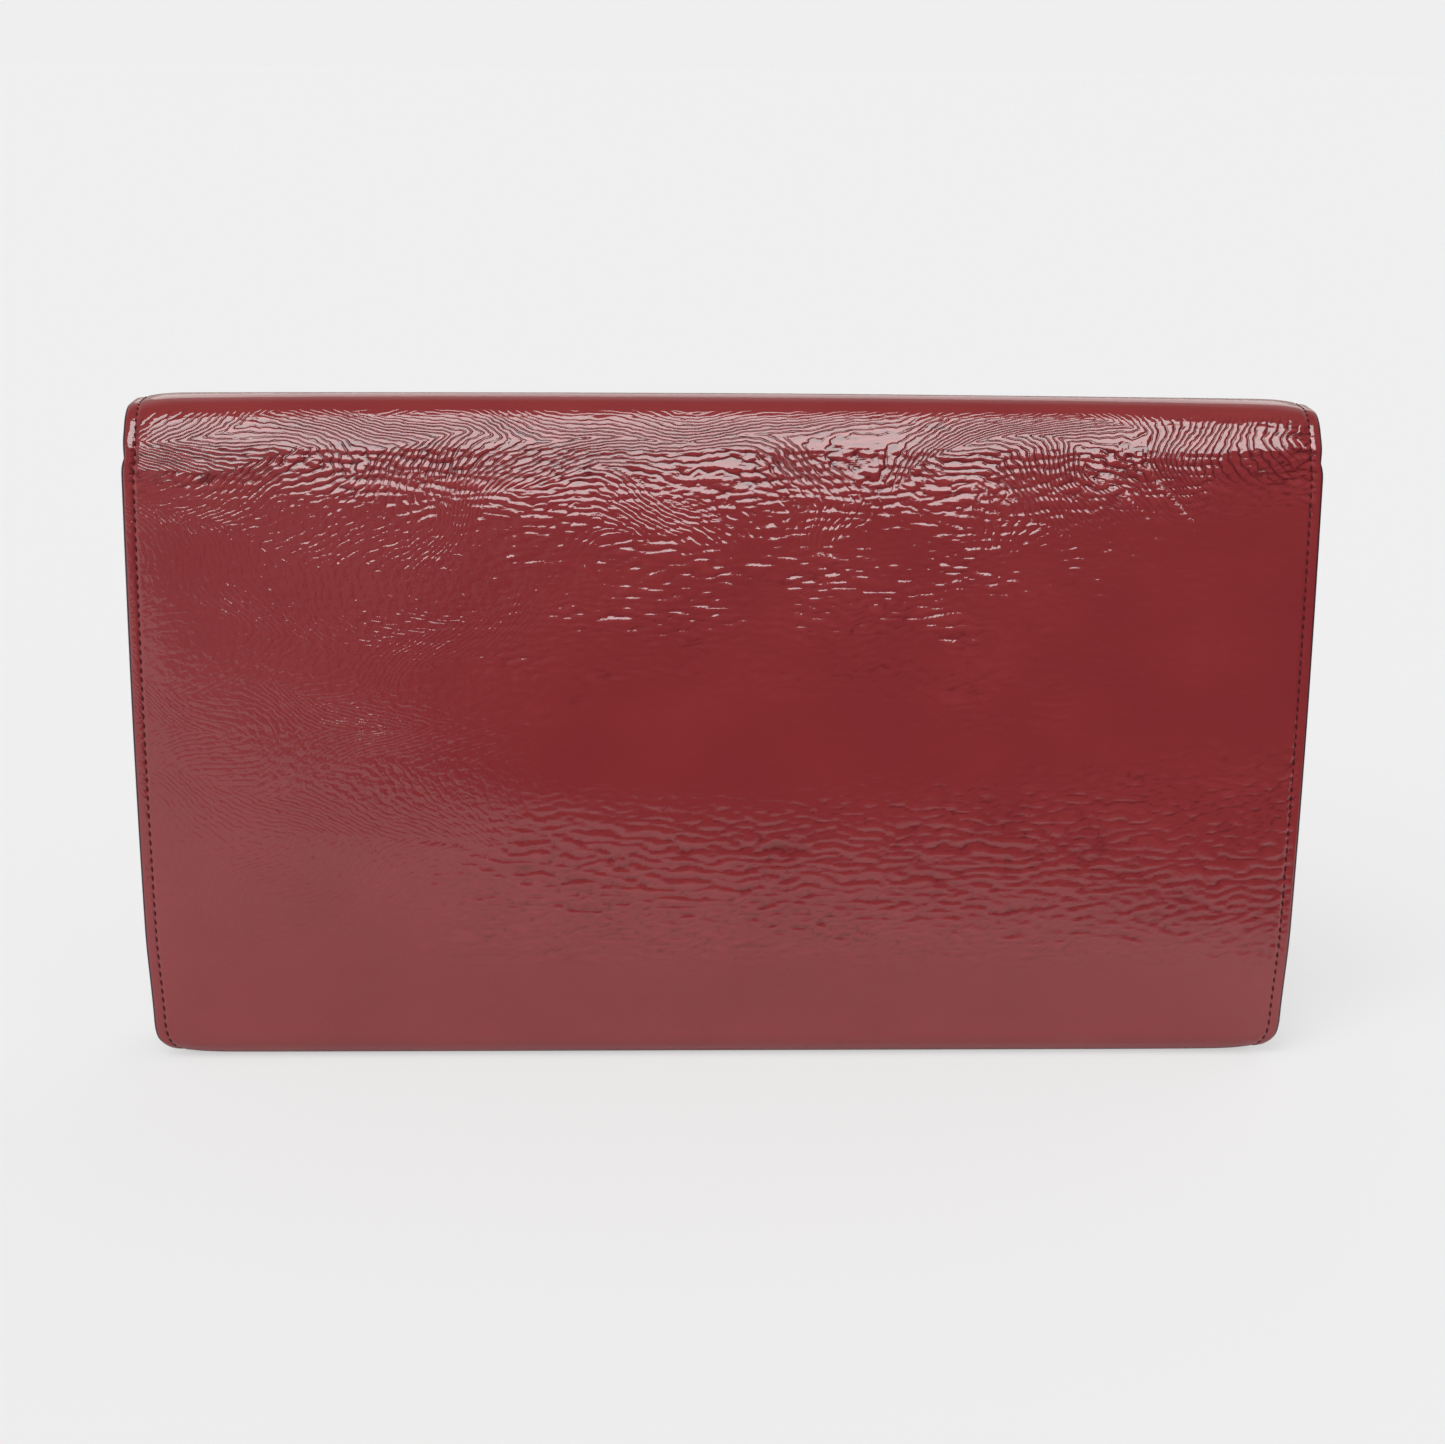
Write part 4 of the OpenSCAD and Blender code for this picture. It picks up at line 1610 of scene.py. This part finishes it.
def make_covers(shapes: Shapes) -> tuple[Cover, Cover, Cover]:
    """The three covers: back with base, flap, and the front panel under the flap.

    Args:
        shapes: the panels and folds.

    Returns:
        The covers, in the order in which they are made.
    """
    k, back, flap, front = shapes.sizes, shapes.back, shapes.flap, shapes.front
    back_steps = (
        *((0, 1.6), (12, 1.1), (30, 0.75), (60, 0.55), (100, 0.6), (120, 0.5)),
        *((140, 0.42), (170, 0.42), (back.s1, 0.6)),
    )
    return (
        Cover(
            name="back",
            panel=back,
            crease=shapes.back_crease,
            hide=(Zone.BACK, back_steps, 1.1),
            nodes=(
                ("body_leather", "spine_leather"),
                ("body_padding", "spine_padding"),
                ("body_lining", "spine_lining"),
            ),
            fleece_inset=(0.6, k.lined_inset + 0.5),
            cloth_inset=(0.3, k.lined_inset),
            fill=0.6,
            edge_under=1.35,
            cloth_flat=(k.body_w, back.s1),
            board=(Body.ROOT, back.s1 - k.body_h + 22, back.s1 - 26, 9.5),
            trim=("back_painted_edges", "back_side_stitches"),
        ),
        Cover(
            name="flap",
            panel=flap,
            crease=shapes.flap_crease,
            hide=(Zone.FLAP, ((flap.s0, 0.6), (flap.s1, 0.6)), 1.0),
            nodes=(("flap_leather", "spine_leather"), ("flap_padding", "spine_padding"), ("flap_lining",)),
            fleece_inset=(1.2,),
            cloth_inset=(0.7,),
            fill=0.6,
            edge_under=1.35,
            cloth_flat=(k.body_w, flap.s1 - flap.s0),
            board=(Body.FLAP, flap.s0 + 25, flap.s1 - 8, 8),
            trim=("flap_painted_edge", "flap_edge_stitches"),
            under_stitches="flap_edge_stitches_inside",
        ),
        Cover(
            name="front",
            panel=front,
            crease=shapes.base_crease,
            hide=(Zone.FRONT, ((0, 0.9), (front.s1, 0.8)), 1.3),
            nodes=(("front_leather",), ("front_padding",), ("front_lining",)),
            fleece_inset=(k.lined_inset + 0.5,),
            cloth_inset=(0.6, k.lined_inset),
            fill=0.5,
            edge_under=1.4,
            cloth_flat=(k.body_w - 2 * k.lined_inset, front.s1),
            board=None,
            trim=("front_painted_edge", "front_edge_stitches"),
        ),
    )


@dataclass(frozen=True)
class Gussets:
    """The two folded side walls, sewn to the back and to the front panel."""

    shapes: Shapes
    fold_top: float = 24
    fold_base: float = 10
    point: float = 1.45
    flange: float = 0.16
    rows: int = 60
    cols: int = 61

    def section(self, z: Array, t: Array) -> tuple[Array, Array]:
        """Middle of the gusset's thickness at height z, for t from the back seam to the front.

        The flanges lie flat on the leather, then climb over the lining's thickness; between
        them the depth of the fold is fold x (1 - |2u - 1|^point), a soft V.

        Args:
            z: heights in mm, as a column.
            t: shares of the way round, as a row.

        Returns:
            Distance from the middle of the clutch, and y, both in mm.
        """
        k, shapes, flange = self.shapes.sizes, self.shapes, self.flange
        u = np.clip((t - flange) / (1 - 2 * flange), 0, 1)
        up = (z - k.base_r) / (k.mouth_z - k.base_r)
        fold = self.fold_base + (self.fold_top - self.fold_base) * up
        run = np.minimum(t, 1 - t) / flange
        foot = k.seam_w + 0.6
        inward = np.where(
            (t < flange) | (t > 1 - flange),
            foot * np.clip(run, 0, 1),
            foot + (fold - foot) * (1 - np.abs(2 * u - 1) ** self.point),
        )
        rise = k.stack_t + 0.3 - k.leather_t
        climb = k.leather_t + k.gusset_t / 2 + 0.05 + rise * smooth((inward - 3.2) / 3.4)
        back_s = z - k.base_r + shapes.back.skin.wall_s
        front_s = (z - k.base_r) / math.cos(math.radians(k.front_lean)) + shapes.front.skin.wall_s
        edge_x = shapes.back.half(back_s) - inward
        y_back = shapes.back.at(edge_x, back_s + 0 * edge_x, climb)[..., 1]
        y_front = shapes.front.at(edge_x, front_s + 0 * edge_x, climb)[..., 1]
        share = np.where(t < flange, 0, np.where(t > 1 - flange, 1, u))
        return edge_x, y_back + (y_front - y_back) * share

    def build(self, finishes: Finishes) -> list[bpy.types.Object]:
        """Make both gussets.

        Args:
            finishes: every finish of the clutch.

        Returns:
            The new pieces.
        """
        k = self.shapes.sizes
        z = np.linspace(k.base_r + 0.4, k.mouth_z, self.rows)[:, None]
        t = np.linspace(0, 1, self.cols)[None, :]
        x, y = self.section(z, t)
        along = np.stack([-np.gradient(x, axis=1), np.gradient(y, axis=1)])
        along /= np.linalg.norm(along, axis=0)
        off_x, off_y = along[1] * k.gusset_t / 2, along[0] * k.gusset_t / 2
        lean = math.radians(k.front_lean)
        tilt = np.array([0, math.cos(lean), math.sin(lean)])
        start, end = (list(tilt * v * MM) for v in (-6.5, 5.8))
        pieces = []
        for side, name in ((-1, "gusset_left"), (1, "gusset_right")):
            points, faces = slab(
                *(
                    np.stack([side * (x - sign * off_x), y - sign * off_y, z + 0 * y], axis=-1)
                    for sign in (1, -1)
                )
            )
            piece = write_piece(f"{name}_leather", points, faces, finishes.gusset)
            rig.slot(piece, Slot.GUSSET.value)
            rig.blend(piece, Body.ROOT.value, Body.FRONT.value, start, end)
            pieces.append(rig.replaces(piece, name))
        return pieces


@dataclass(frozen=True)
class SlipPocket:
    """Cloth pocket on the back lining, with a leather strip along its mouth."""

    shapes: Shapes
    width: float = 190
    height: float = 92
    lift: float = 14
    seam: float = 3
    seam_inset: float = 1.5
    slack: float = 0.5
    cloth_t: float = 0.6
    trim_h: float = 9
    trim_t: float = 0.6
    trim_inset: float = 1.3
    pitch: float = 2.6
    thread_r: float = 0.22
    stitch_half: float = 0.95
    dive: float = 0.2

    # Distances in mm from the cloth's sewn edges, and along the strip from its long edges.
    NEAR = (0, 0.3, 0.8, 1.5, 2.4, 3.4, 4.6, 6, 8, 11)
    STRIP = (0, 0.12, 0.35, 0.8, 2, 4.5, 7, 8.2, 8.65, 8.88, 9.0)

    def depth(self, x: Array, h: Array) -> Array:
        """Depth of the cloth's outer face under the skin: flat in the seams, standing off inside.

        Args:
            x: across the width, in mm.
            h: height above the pocket's lower edge, in mm.

        Returns:
            The depth at each point, in mm.
        """
        from_side = self.width / 2 - np.abs(x)
        loose = smooth((np.minimum(from_side, h) - 1.2) / (self.seam + 3))
        gape = smooth(h / self.height) * smooth((from_side - 4) / 60)
        return self.shapes.sizes.stack_t + 0.02 + (self.slack + 0.5 * gape) * loose

    def place(self, x: Array, h: Array, depth: Array) -> Array:
        """Points at height h above the pocket's lower edge."""
        start = self.shapes.back.skin.wall_s - self.shapes.sizes.base_r + self.lift
        return self.shapes.back.at(x, start + h, depth)

    def build(self, finishes: Finishes) -> list[bpy.types.Object]:
        """Make the cloth, its strip and the stitching of both.

        Args:
            finishes: every finish of the clutch.

        Returns:
            The new pieces.
        """
        half, near = self.width / 2, np.array(self.NEAR)
        x = np.concatenate([near - half, np.linspace(14 - half, half - 14, 50), half - near[::-1]])
        h = np.concatenate([near, np.linspace(14, self.height, 30)])[:, None]
        x, h = np.broadcast_arrays(x[None, :], h)
        depth = self.depth(x, h)
        points, faces = slab(self.place(x, h, depth), self.place(x, h, depth + self.cloth_t))
        uv = np.tile(np.stack([x.ravel(), h.ravel() + UV_SHIFT / 2], axis=1), (2, 1))
        cloth = write_piece("pocket_cloth", points, faces, finishes.lining, uv)
        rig.slot(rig.ride(cloth, Body.ROOT.value), Slot.LINING.value)
        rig.replaces(cloth, "slip_pocket")
        strip, sewn = self.strip(finishes), self.stitches(finishes)
        flat = (self.width * MM, self.height * MM)
        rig.sheet(cloth, flat=flat, held="stretched", with_pieces=[strip])
        return [cloth, strip, sewn]

    def strip(self, finishes: Finishes) -> bpy.types.Object:
        """The leather strip, with its long edges rounded over.

        Args:
            finishes: every finish of the clutch.

        Returns:
            The new piece.
        """
        x = np.linspace(-self.width / 2, self.width / 2, 80)[None, :]
        across = self.trim_h * np.array(self.STRIP) / self.STRIP[-1]
        h = (self.height - self.trim_h + across)[:, None]
        x, h = np.broadcast_arrays(x, h)
        fall = np.minimum(h - h.min(), h.max() - h)
        dome = self.trim_t * np.sqrt(np.clip(1 - (1 - np.clip(fall / 0.5, 0, 1)) ** 2, 0.04, 1))
        depth = self.depth(x, h) + self.cloth_t + 0.02
        points, faces = slab(self.place(x, h, depth + dome), self.place(x, h, depth))
        piece = write_piece("pocket_mouth_strip", points, faces, finishes.gusset)
        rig.slot(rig.ride(piece, Body.ROOT.value), Slot.PATENT.value)
        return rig.replaces(piece, "pocket_trim")

    def stitches(self, finishes: Finishes) -> bpy.types.Object:
        """Stitches round the pocket's seam and along both edges of the strip.

        Args:
            finishes: every finish of the clutch.

        Returns:
            The new piece.
        """
        side, foot = self.width / 2 - self.seam_inset, self.seam_inset
        strip_h, end = self.height - self.trim_h, self.width / 2 - 1
        rows = [([[-side, strip_h], [-side, foot], [side, foot], [side, strip_h]], 0.0)]
        for h in (strip_h + self.trim_inset, self.height - self.trim_inset):
            rows.append(([[-end, h], [end, h]], self.trim_t))
        a = np.array([-1, -0.6, 0, 0.6, 1])[:, None]
        turn = np.linspace(0, 2 * math.pi, 7)[:-1][None, :]
        width = np.sqrt(np.clip(1 - 0.7 * a**4, 0, 1)) * self.thread_r
        lift = width * np.sin(turn) - self.dive * a**2 + 0.08
        rings = []
        for line, rise in rows:
            x, h, ox, oh = resample(np.array(line), self.pitch).T[:, :, None, None]
            px = x + oh * a * self.stitch_half + ox * width * np.cos(turn)
            ph = h - ox * a * self.stitch_half + oh * width * np.cos(turn)
            rings.append(self.place(px, ph, self.depth(px, ph) + self.cloth_t + rise + lift))
        points, faces = tube(np.concatenate(rings))
        uv = points[:, [0, 2]]
        piece = write_piece("pocket_stitches", points, faces, finishes.thread, uv, sharp=80)
        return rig.ride(piece, Body.ROOT.value)


@dataclass(frozen=True)
class Snap:
    """Thin magnetic snap: stud on the flap, pressed socket on the front panel."""

    shapes: Shapes
    radius: float = 7.5
    disc_t: float = 0.8
    stud_r: float = 3
    stud_l: float = 1.5
    hole_r: float = 3.6
    socket_h: float = 2.2
    base_t: float = 0.5
    shell_t: float = 0.4
    above_edge: float = 17
    prong_x: float = 4
    prong_w: float = 4
    prong_t: float = 0.4
    prong_fold: float = 2.6
    prong_bend: float = 0.35

    ROUND = 72
    FILLET = 0.3

    def front_s(self) -> float:
        """Place of the socket along the front panel: level with the stud.

        Returns:
            Its s, in mm.
        """
        k, front = self.shapes.sizes, self.shapes.front
        s = np.linspace(20, front.s1, 4000)
        return float(np.interp(k.body_h - k.flap_drop + self.above_edge, front.skin.at(s)[1], s))

    def turned(
        self, profile: list[tuple[float, float]], panel: Panel, s: float, face: float, sign: int
    ) -> tuple[Array, list[Array]]:
        """Carry a profile of (radius, height) round the snap's centre.

        Args:
            profile: points from the axis or the hole outwards and back, in mm.
            panel: the panel that it sits on.
            s: its centre along the panel.
            face: depth of the face that height 0 lies on.
            sign: +1 if height runs outwards from the panel, -1 if inwards.

        Returns:
            Points and faces.
        """
        r, h = np.array(profile).T[:, None, :]
        n, m = self.ROUND, len(profile)
        turn = np.linspace(0, 2 * math.pi, n, endpoint=False)[:, None]
        points = self.set_on(panel, s, face, r * np.cos(turn), r * np.sin(turn), sign * h)
        ring = grid_faces(n + 1, m) % (n * m)
        this = np.arange(n) * m
        nxt = (np.arange(n) + 1) % n * m
        closing = np.stack([this + m - 1, this, nxt, nxt + m - 1], axis=1)
        return points.reshape(-1, 3), [ring, closing]

    def set_on(
        self, panel: Panel, s: float, face: float, dx: Array, ds: Array, out: Array
    ) -> Array:
        """Points beside the snap's centre, square to the panel there: no swell under them.

        Args:
            panel: the panel that the snap sits on.
            s: its centre along the panel.
            face: depth of the face that out starts from.
            dx: distance across the width, in mm.
            ds: distance along the panel, in mm.
            out: distance outwards, in mm.

        Returns:
            Points, with a last axis of 3.
        """
        _, _, ny, nz = panel.skin.at(np.array(s))
        axes = np.array([[1.0, 0, 0], np.sign(ny) * np.array([0, -nz, ny]), [0, ny, nz]])
        parts = np.broadcast_arrays(dx, ds, out)
        return panel.at(0.0, s, face) + sum(v[..., None] * axis for v, axis in zip(parts, axes))

    def prongs(
        self, panel: Panel, s: float, face: float, length: float, sign: int
    ) -> tuple[Array, list[Array]]:
        """Two flat prongs that run into the panel and fold outwards round a small bend.

        Args:
            panel: the panel that they pass through.
            s: the snap's centre along it.
            face: depth of the face that they start from.
            length: how deep they run, in mm.
            sign: +1 if they run outwards from the panel, -1 if inwards.

        Returns:
            Points and faces.
        """
        bend, reach = self.prong_bend, length - self.prong_t / 2
        turn = np.linspace(0, math.pi / 2, 5)
        run = np.concatenate([[0, reach - bend - 0.3], reach - bend + bend * np.sin(turn), [reach]])
        out = np.concatenate([[0, 0], bend * (1 - np.cos(turn)), [self.prong_fold - 0.2]])
        ahead = np.stack([np.gradient(out), np.gradient(run)], axis=1)
        ahead /= np.linalg.norm(ahead, axis=1, keepdims=True)
        corners = np.array([[-1, -0.8], [-0.7, -1], [0.7, -1], [1, -0.8]])
        corners = np.concatenate([corners, -corners])
        w, t = (corners * [self.prong_w / 2, self.prong_t / 2]).T[:, None, :]
        depth = run[:, None] - t * ahead[:, 0:1]
        rings = []
        for side in (-1, 1):
            dx = side * (self.prong_x + out[:, None] + t * ahead[:, 1:2])
            rings.append(self.set_on(panel, s, face, dx, w + 0 * dx, sign * depth))
        return tube(np.stack(rings))

    def stud_profile(self) -> list[tuple[float, float]]:
        """Disc with a rounded rim, and a stud with a fillet at its foot and a rounded tip.

        Returns:
            (radius, height) points in mm.
        """
        r, rim_r, tip_r, f = self.radius, 0.25, 0.5, self.FILLET
        tip_h = self.disc_t + self.stud_l
        turns = [(math.sin(a), math.cos(a)) for a in np.linspace(0, math.pi / 2, 5)]
        rim = [(r - rim_r + rim_r * u, self.disc_t - rim_r + rim_r * v) for u, v in turns]
        foot = [(self.stud_r + f - f * u, self.disc_t + f - f * v) for u, v in turns]
        tip = [(self.stud_r - tip_r + tip_r * v, tip_h - tip_r + tip_r * u) for u, v in turns]
        return [(0, 0), (r, 0), *rim[::-1], *foot, *tip, (0.9, tip_h + 0.02), (0, tip_h)]

    def cup_profile(self) -> list[tuple[float, float]]:
        """Pressed shell: rounded outer edge, rolled lip round the hole, and its inner face.

        Returns:
            (radius, height) points in mm.
        """
        r, rim_r, f = self.radius, 0.45, self.FILLET
        top, hole, shell, base = self.socket_h, self.hole_r, self.shell_t, self.base_t
        turns = [(math.sin(a), math.cos(a)) for a in np.linspace(0, math.pi / 2, 5)]
        outer = [(r - rim_r + rim_r * v, top - rim_r + rim_r * u) for u, v in turns]
        lip = [(hole + f - f * u, top - f + f * v) for u, v in turns]
        inner = [(hole + shell, base), (hole + shell, top - shell), (r - shell, top - shell)]
        return [(r, base), *outer, *lip, (hole, base), *inner, (r - shell, base)]

    def build(self, finishes: Finishes) -> list[bpy.types.Object]:
        """Make the stud and the socket.

        Args:
            finishes: every finish of the clutch.

        Returns:
            The new pieces.
        """
        k, shapes, r, base_t = self.shapes.sizes, self.shapes, self.radius, self.base_t
        on_flap = (shapes.flap, shapes.flap.s1 - self.above_edge, k.stack_t)
        on_front = (shapes.front, self.front_s(), 0)
        disc = [(0, 0), (r - 0.1, 0), (r, 0.1), (r, base_t - 0.05), (0, base_t)]
        stud = [
            self.turned(self.stud_profile(), *on_flap, -1),
            self.prongs(*on_flap, k.stack_t - k.leather_t, 1),
        ]
        base = [self.turned(disc, *on_front, 1), self.prongs(*on_front, k.leather_t + 1, -1)]
        cup = [self.turned(self.cup_profile(), *on_front, 1)]
        brass, steel, flap, front = finishes.brass, finishes.steel, Body.FLAP, Body.FRONT
        pieces = []
        for name, node, parts, material, slot, body in (
            ("snap_stud_turned", "snap_stud", stud, brass, Slot.BRASS, flap),
            ("snap_socket_base", "snap_base", base, steel, Slot.STEEL, front),
            ("snap_socket_cup", "snap_cup", cup, brass, Slot.BRASS, front),
        ):
            piece = write_piece(name, *joined(parts), material, sharp=40, weld=True)
            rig.slot(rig.ride(piece, body.value), slot.value)
            pieces.append(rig.replaces(piece, node))
        return pieces


@dataclass(frozen=True)
class HiddenParts:
    """Frame nodes that stay as they are, inside the clutch, with their own finishes."""

    def dress(self, nodes: dict[str, bpy.types.Object], finishes: Finishes) -> None:
        """Give each kept node its material.

        Args:
            nodes: the frame's objects by name.
            finishes: every finish of the clutch.
        """
        for name, material, slot in (
            ("base_board", finishes.board, Slot.BOARD),
            ("front_board", finishes.board, Slot.BOARD),
            ("stud_washer", finishes.brass, Slot.BRASS),
            ("socket_washer", finishes.brass, Slot.BRASS),
            ("snap_magnet", finishes.steel, Slot.STEEL),
        ):
            nodes[name].data.materials.clear()
            nodes[name].data.materials.append(material)
            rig.slot(nodes[name], slot.value)


# ---------------------------------------------------------------------------
# studio


def shown(name: str, data: bpy.types.ID) -> bpy.types.Object:
    """New object in the scene.

    Args:
        name: its name.
        data: its mesh, light or camera.

    Returns:
        The object.
    """
    made = bpy.data.objects.new(name, data)
    bpy.context.scene.collection.objects.link(made)
    return made


def placed(right: Array, up: Array, back: Array, place: Array) -> Matrix:
    """Matrix of an object with these axes at a place.

    Args:
        right: its X axis.
        up: its Y axis.
        back: its Z axis.
        place: its origin.

    Returns:
        The matrix.
    """
    made = np.eye(4)
    made[:3] = np.stack([right, up, back, place], axis=1)
    return Matrix(made.tolist())


def facing(place: Point, target: Point) -> Matrix:
    """Matrix of a lamp at a place whose -Z axis points at a target.

    Args:
        place: where the lamp is.
        target: the point that it faces.

    Returns:
        The matrix.
    """
    back = np.array(place, float) - np.array(target, float)
    back /= np.linalg.norm(back)
    side = np.cross([0, 0, 1], back)
    side /= np.linalg.norm(side)
    return placed(side, np.cross(back, side), back, place)


@dataclass(frozen=True)
class Studio:
    """Pale floor, soft light and the camera. Lengths are in metres."""

    background: str = "EFEFEF"
    floor_reach: float = 8.0
    floor_z: float = -0.0002
    shadow_lift: float = 0.65
    even_light: float = 0.5
    sun_spread: float = 50
    aim: Point = (0, 0, 0.15)
    sun_aim: Point = (0, 0, 0.08)
    look_at: Point = (0, 0, 0.0828)
    distance: float = 0.626
    lens_mm: float = 63.8
    # The camera's yaw, pitch and roll in degrees.
    camera_turn: tuple[float, float, float] = (1.95, 16.0, 0.59)

    def build(self) -> None:
        """Make the floor, the light and the camera."""
        bpy.context.scene.view_settings.view_transform = "Standard"
        self.floor()
        self.world()
        self.lamps()
        self.camera()

    def floor(self) -> None:
        """Large pale floor; a glossy surface sees it pale close by and dim further off."""
        n = 9
        side = np.linspace(-self.floor_reach, self.floor_reach, n)
        x, y = np.meshgrid(side, side)
        mesh = bpy.data.meshes.new("floor")
        points = np.stack([x, y, 0 * x + self.floor_z], axis=-1).reshape(-1, 3)
        mesh.from_pydata(points.tolist(), [], grid_faces(n, n).tolist())
        floor = shown("floor", mesh)
        material, node = new_material("floor_paper_pale")
        x, y, _ = node("SeparateXYZ", {0: node("TexCoord").outputs["Object"]}).outputs
        left = node("Math", {0: x, 1: 0.0}, operation="MINIMUM")
        right = node("Math", {0: x, 1: 0.0}, operation="MAXIMUM")
        away = node("Math", {0: y}, operation="ABSOLUTE")
        for part, share in ((left, 0.8), (right, 0.25)):
            away = node("Math", {0: part, 1: share, 2: away}, operation="MULTIPLY_ADD")
        far = {"Value": away, "From Min": 0.115, "From Max": 0.19}
        far = node("MapRange", far, interpolation_type="SMOOTHSTEP")
        path = node("LightPath").outputs
        dim = node("Math", {0: far, 1: path["Is Glossy Ray"]}, operation="MULTIPLY")
        side = node("MapRange", {"Value": x, "From Min": -0.06, "From Max": -0.22})
        shade = {0: side, 6: linear("2A2222"), 7: linear("8C8684")}
        shade = node("Mix", shade, data_type="RGBA")
        colour = node("Mix", {0: dim, 6: linear(self.background), 7: shade}, data_type="RGBA")
        lit = node("BsdfDiffuse", {"Color": colour})
        plain = node("Emission", {"Color": linear(self.background)})
        seen = {0: path["Is Camera Ray"], 1: self.shadow_lift}
        seen = node("Math", seen, operation="MULTIPLY")
        node("OutputMaterial", {0: node("MixShader", {0: seen, 1: lit, 2: plain})})
        floor.data.materials.append(material)
        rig.stage(floor)

    def world(self) -> None:
        """Even light; a glossy surface sees a dim room with a pale far side."""
        world = bpy.data.worlds.new("studio")
        bpy.context.scene.world = world
        world.use_nodes = True
        world.node_tree.nodes.clear()
        node = partial(add, world.node_tree)
        x, y, z = node("SeparateXYZ", {0: node("TexCoord").outputs["Generated"]}).outputs
        back, side, high = (
            node("MapRange", {"Value": value, "From Min": low, "From Max": top})
            for value, low, top in ((y, -0.2, 0.6), (x, -0.02, -0.2), (z, 0.72, 0.9))
        )
        room = linear("2A2423")
        for share, tone in ((side, "9A9492"), (back, "B9B0AC"), (high, "8C6A5E")):
            room = node("Mix", {0: share, 6: room, 7: linear(tone)}, data_type="RGBA")
        path = node("LightPath").outputs
        even = node("Background", {"Color": (1, 1, 1, 1), "Strength": self.even_light})
        seen = node("Background", {"Color": linear(self.background)})
        shiny = node("Background", {"Color": room})
        first = node("MixShader", {0: path["Is Glossy Ray"], 1: even, 2: shiny})
        clear = {0: path["Is Camera Ray"], 1: path["Is Transmission Ray"]}
        clear = node("Math", clear, operation="MAXIMUM")
        node("OutputWorld", {0: node("MixShader", {0: clear, 1: first, 2: seen})})

    def softbox(self, name: str, radiance: float, size: tuple[float, float], place: Point) -> None:
        """One softbox, seen only in gloss.

        Args:
            name: its name.
            radiance: brightness of its face.
            size: width and height.
            place: its middle.
        """
        data = bpy.data.lights.new(name, "AREA")
        data.shape = "RECTANGLE"
        data.size, data.size_y = size
        data.energy = radiance * math.pi * size[0] * size[1]
        lamp = shown(name, data)
        lamp.matrix_world = facing(place, self.aim)
        lamp.visible_camera = lamp.visible_diffuse = False

    def lamps(self) -> None:
        """An even key for matt surfaces, and softboxes for the gloss in front and behind."""
        suns = (("key", 1.75, (-0.5, -1.0, 1.5)), ("fill", 0.35, (0.6, 1.0, 1.2)))
        for name, strength, place in suns:
            data = bpy.data.lights.new(name, "SUN")
            data.energy = strength
            data.angle = math.radians(self.sun_spread)
            sun = shown(name, data)
            sun.matrix_world = facing(place, self.sun_aim)
            sun.visible_glossy = False
        self.softbox("softbox_front", 7.2, (1.16, 2.0), (-0.05, -1.15, 1.12))
        self.softbox("softbox_behind", 0.7, (1.6, 0.7), (0.2, 1.6, 0.75))

    def camera(self) -> None:
        """Camera a little above the clutch and slightly to its left, level but for half a degree."""
        yaw, pitch, roll = (math.radians(a) for a in self.camera_turn)
        level = math.cos(pitch)
        ahead = np.array([math.sin(yaw) * level, math.cos(yaw) * level, -math.sin(pitch)])
        side = np.array([math.cos(yaw), -math.sin(yaw), 0])
        top = np.cross(side, ahead)
        right = math.cos(roll) * side + math.sin(roll) * top
        up = math.cos(roll) * top - math.sin(roll) * side
        data = bpy.data.cameras.new("camera")
        data.sensor_width = 36
        data.lens = self.lens_mm
        camera = shown("camera", data)
        place = np.array(self.look_at) - self.distance * ahead
        camera.matrix_world = placed(right, up, -ahead, place)
        bpy.context.scene.camera = camera


def write_sizes(frame_box: tuple, file: str) -> None:
    """Write the frame's box and the finished clutch's box, in metres, to a file.

    Args:
        frame_box: the frame's lowest and highest corner.
        file: path of the file.
    """
    boxes = {"cad": frame_box, "visual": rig.bounds()}
    with open(file, "w") as out:
        json.dump({k: [list(corner) for corner in v] for k, v in boxes.items()}, out)


def main() -> None:
    """Build the clutch and its studio."""
    logging.basicConfig(level=logging.INFO, format="%(message)s")
    frame_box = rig.bounds()
    low, high = frame_box
    width = ((high - low) / MM).x
    sizes = Sizes(body_w=width, body_h=high.z / MM, body_d=(high.y - low.y) / MM)
    finishes = make_finishes()
    shapes = make_shapes(sizes)
    Studio().build()
    for part in (*make_covers(shapes), Gussets(shapes), SlipPocket(shapes), Snap(shapes)):
        for piece in part.build(finishes):
            faces = len(piece.data.polygons)
            LOG.info("%s: %s, %d faces", type(part).__name__, piece.name, faces)
    HiddenParts().dress(frame["nodes"], finishes)
    write_sizes(frame_box, SIZE_FILE)


if __name__ == "__main__":
    main()
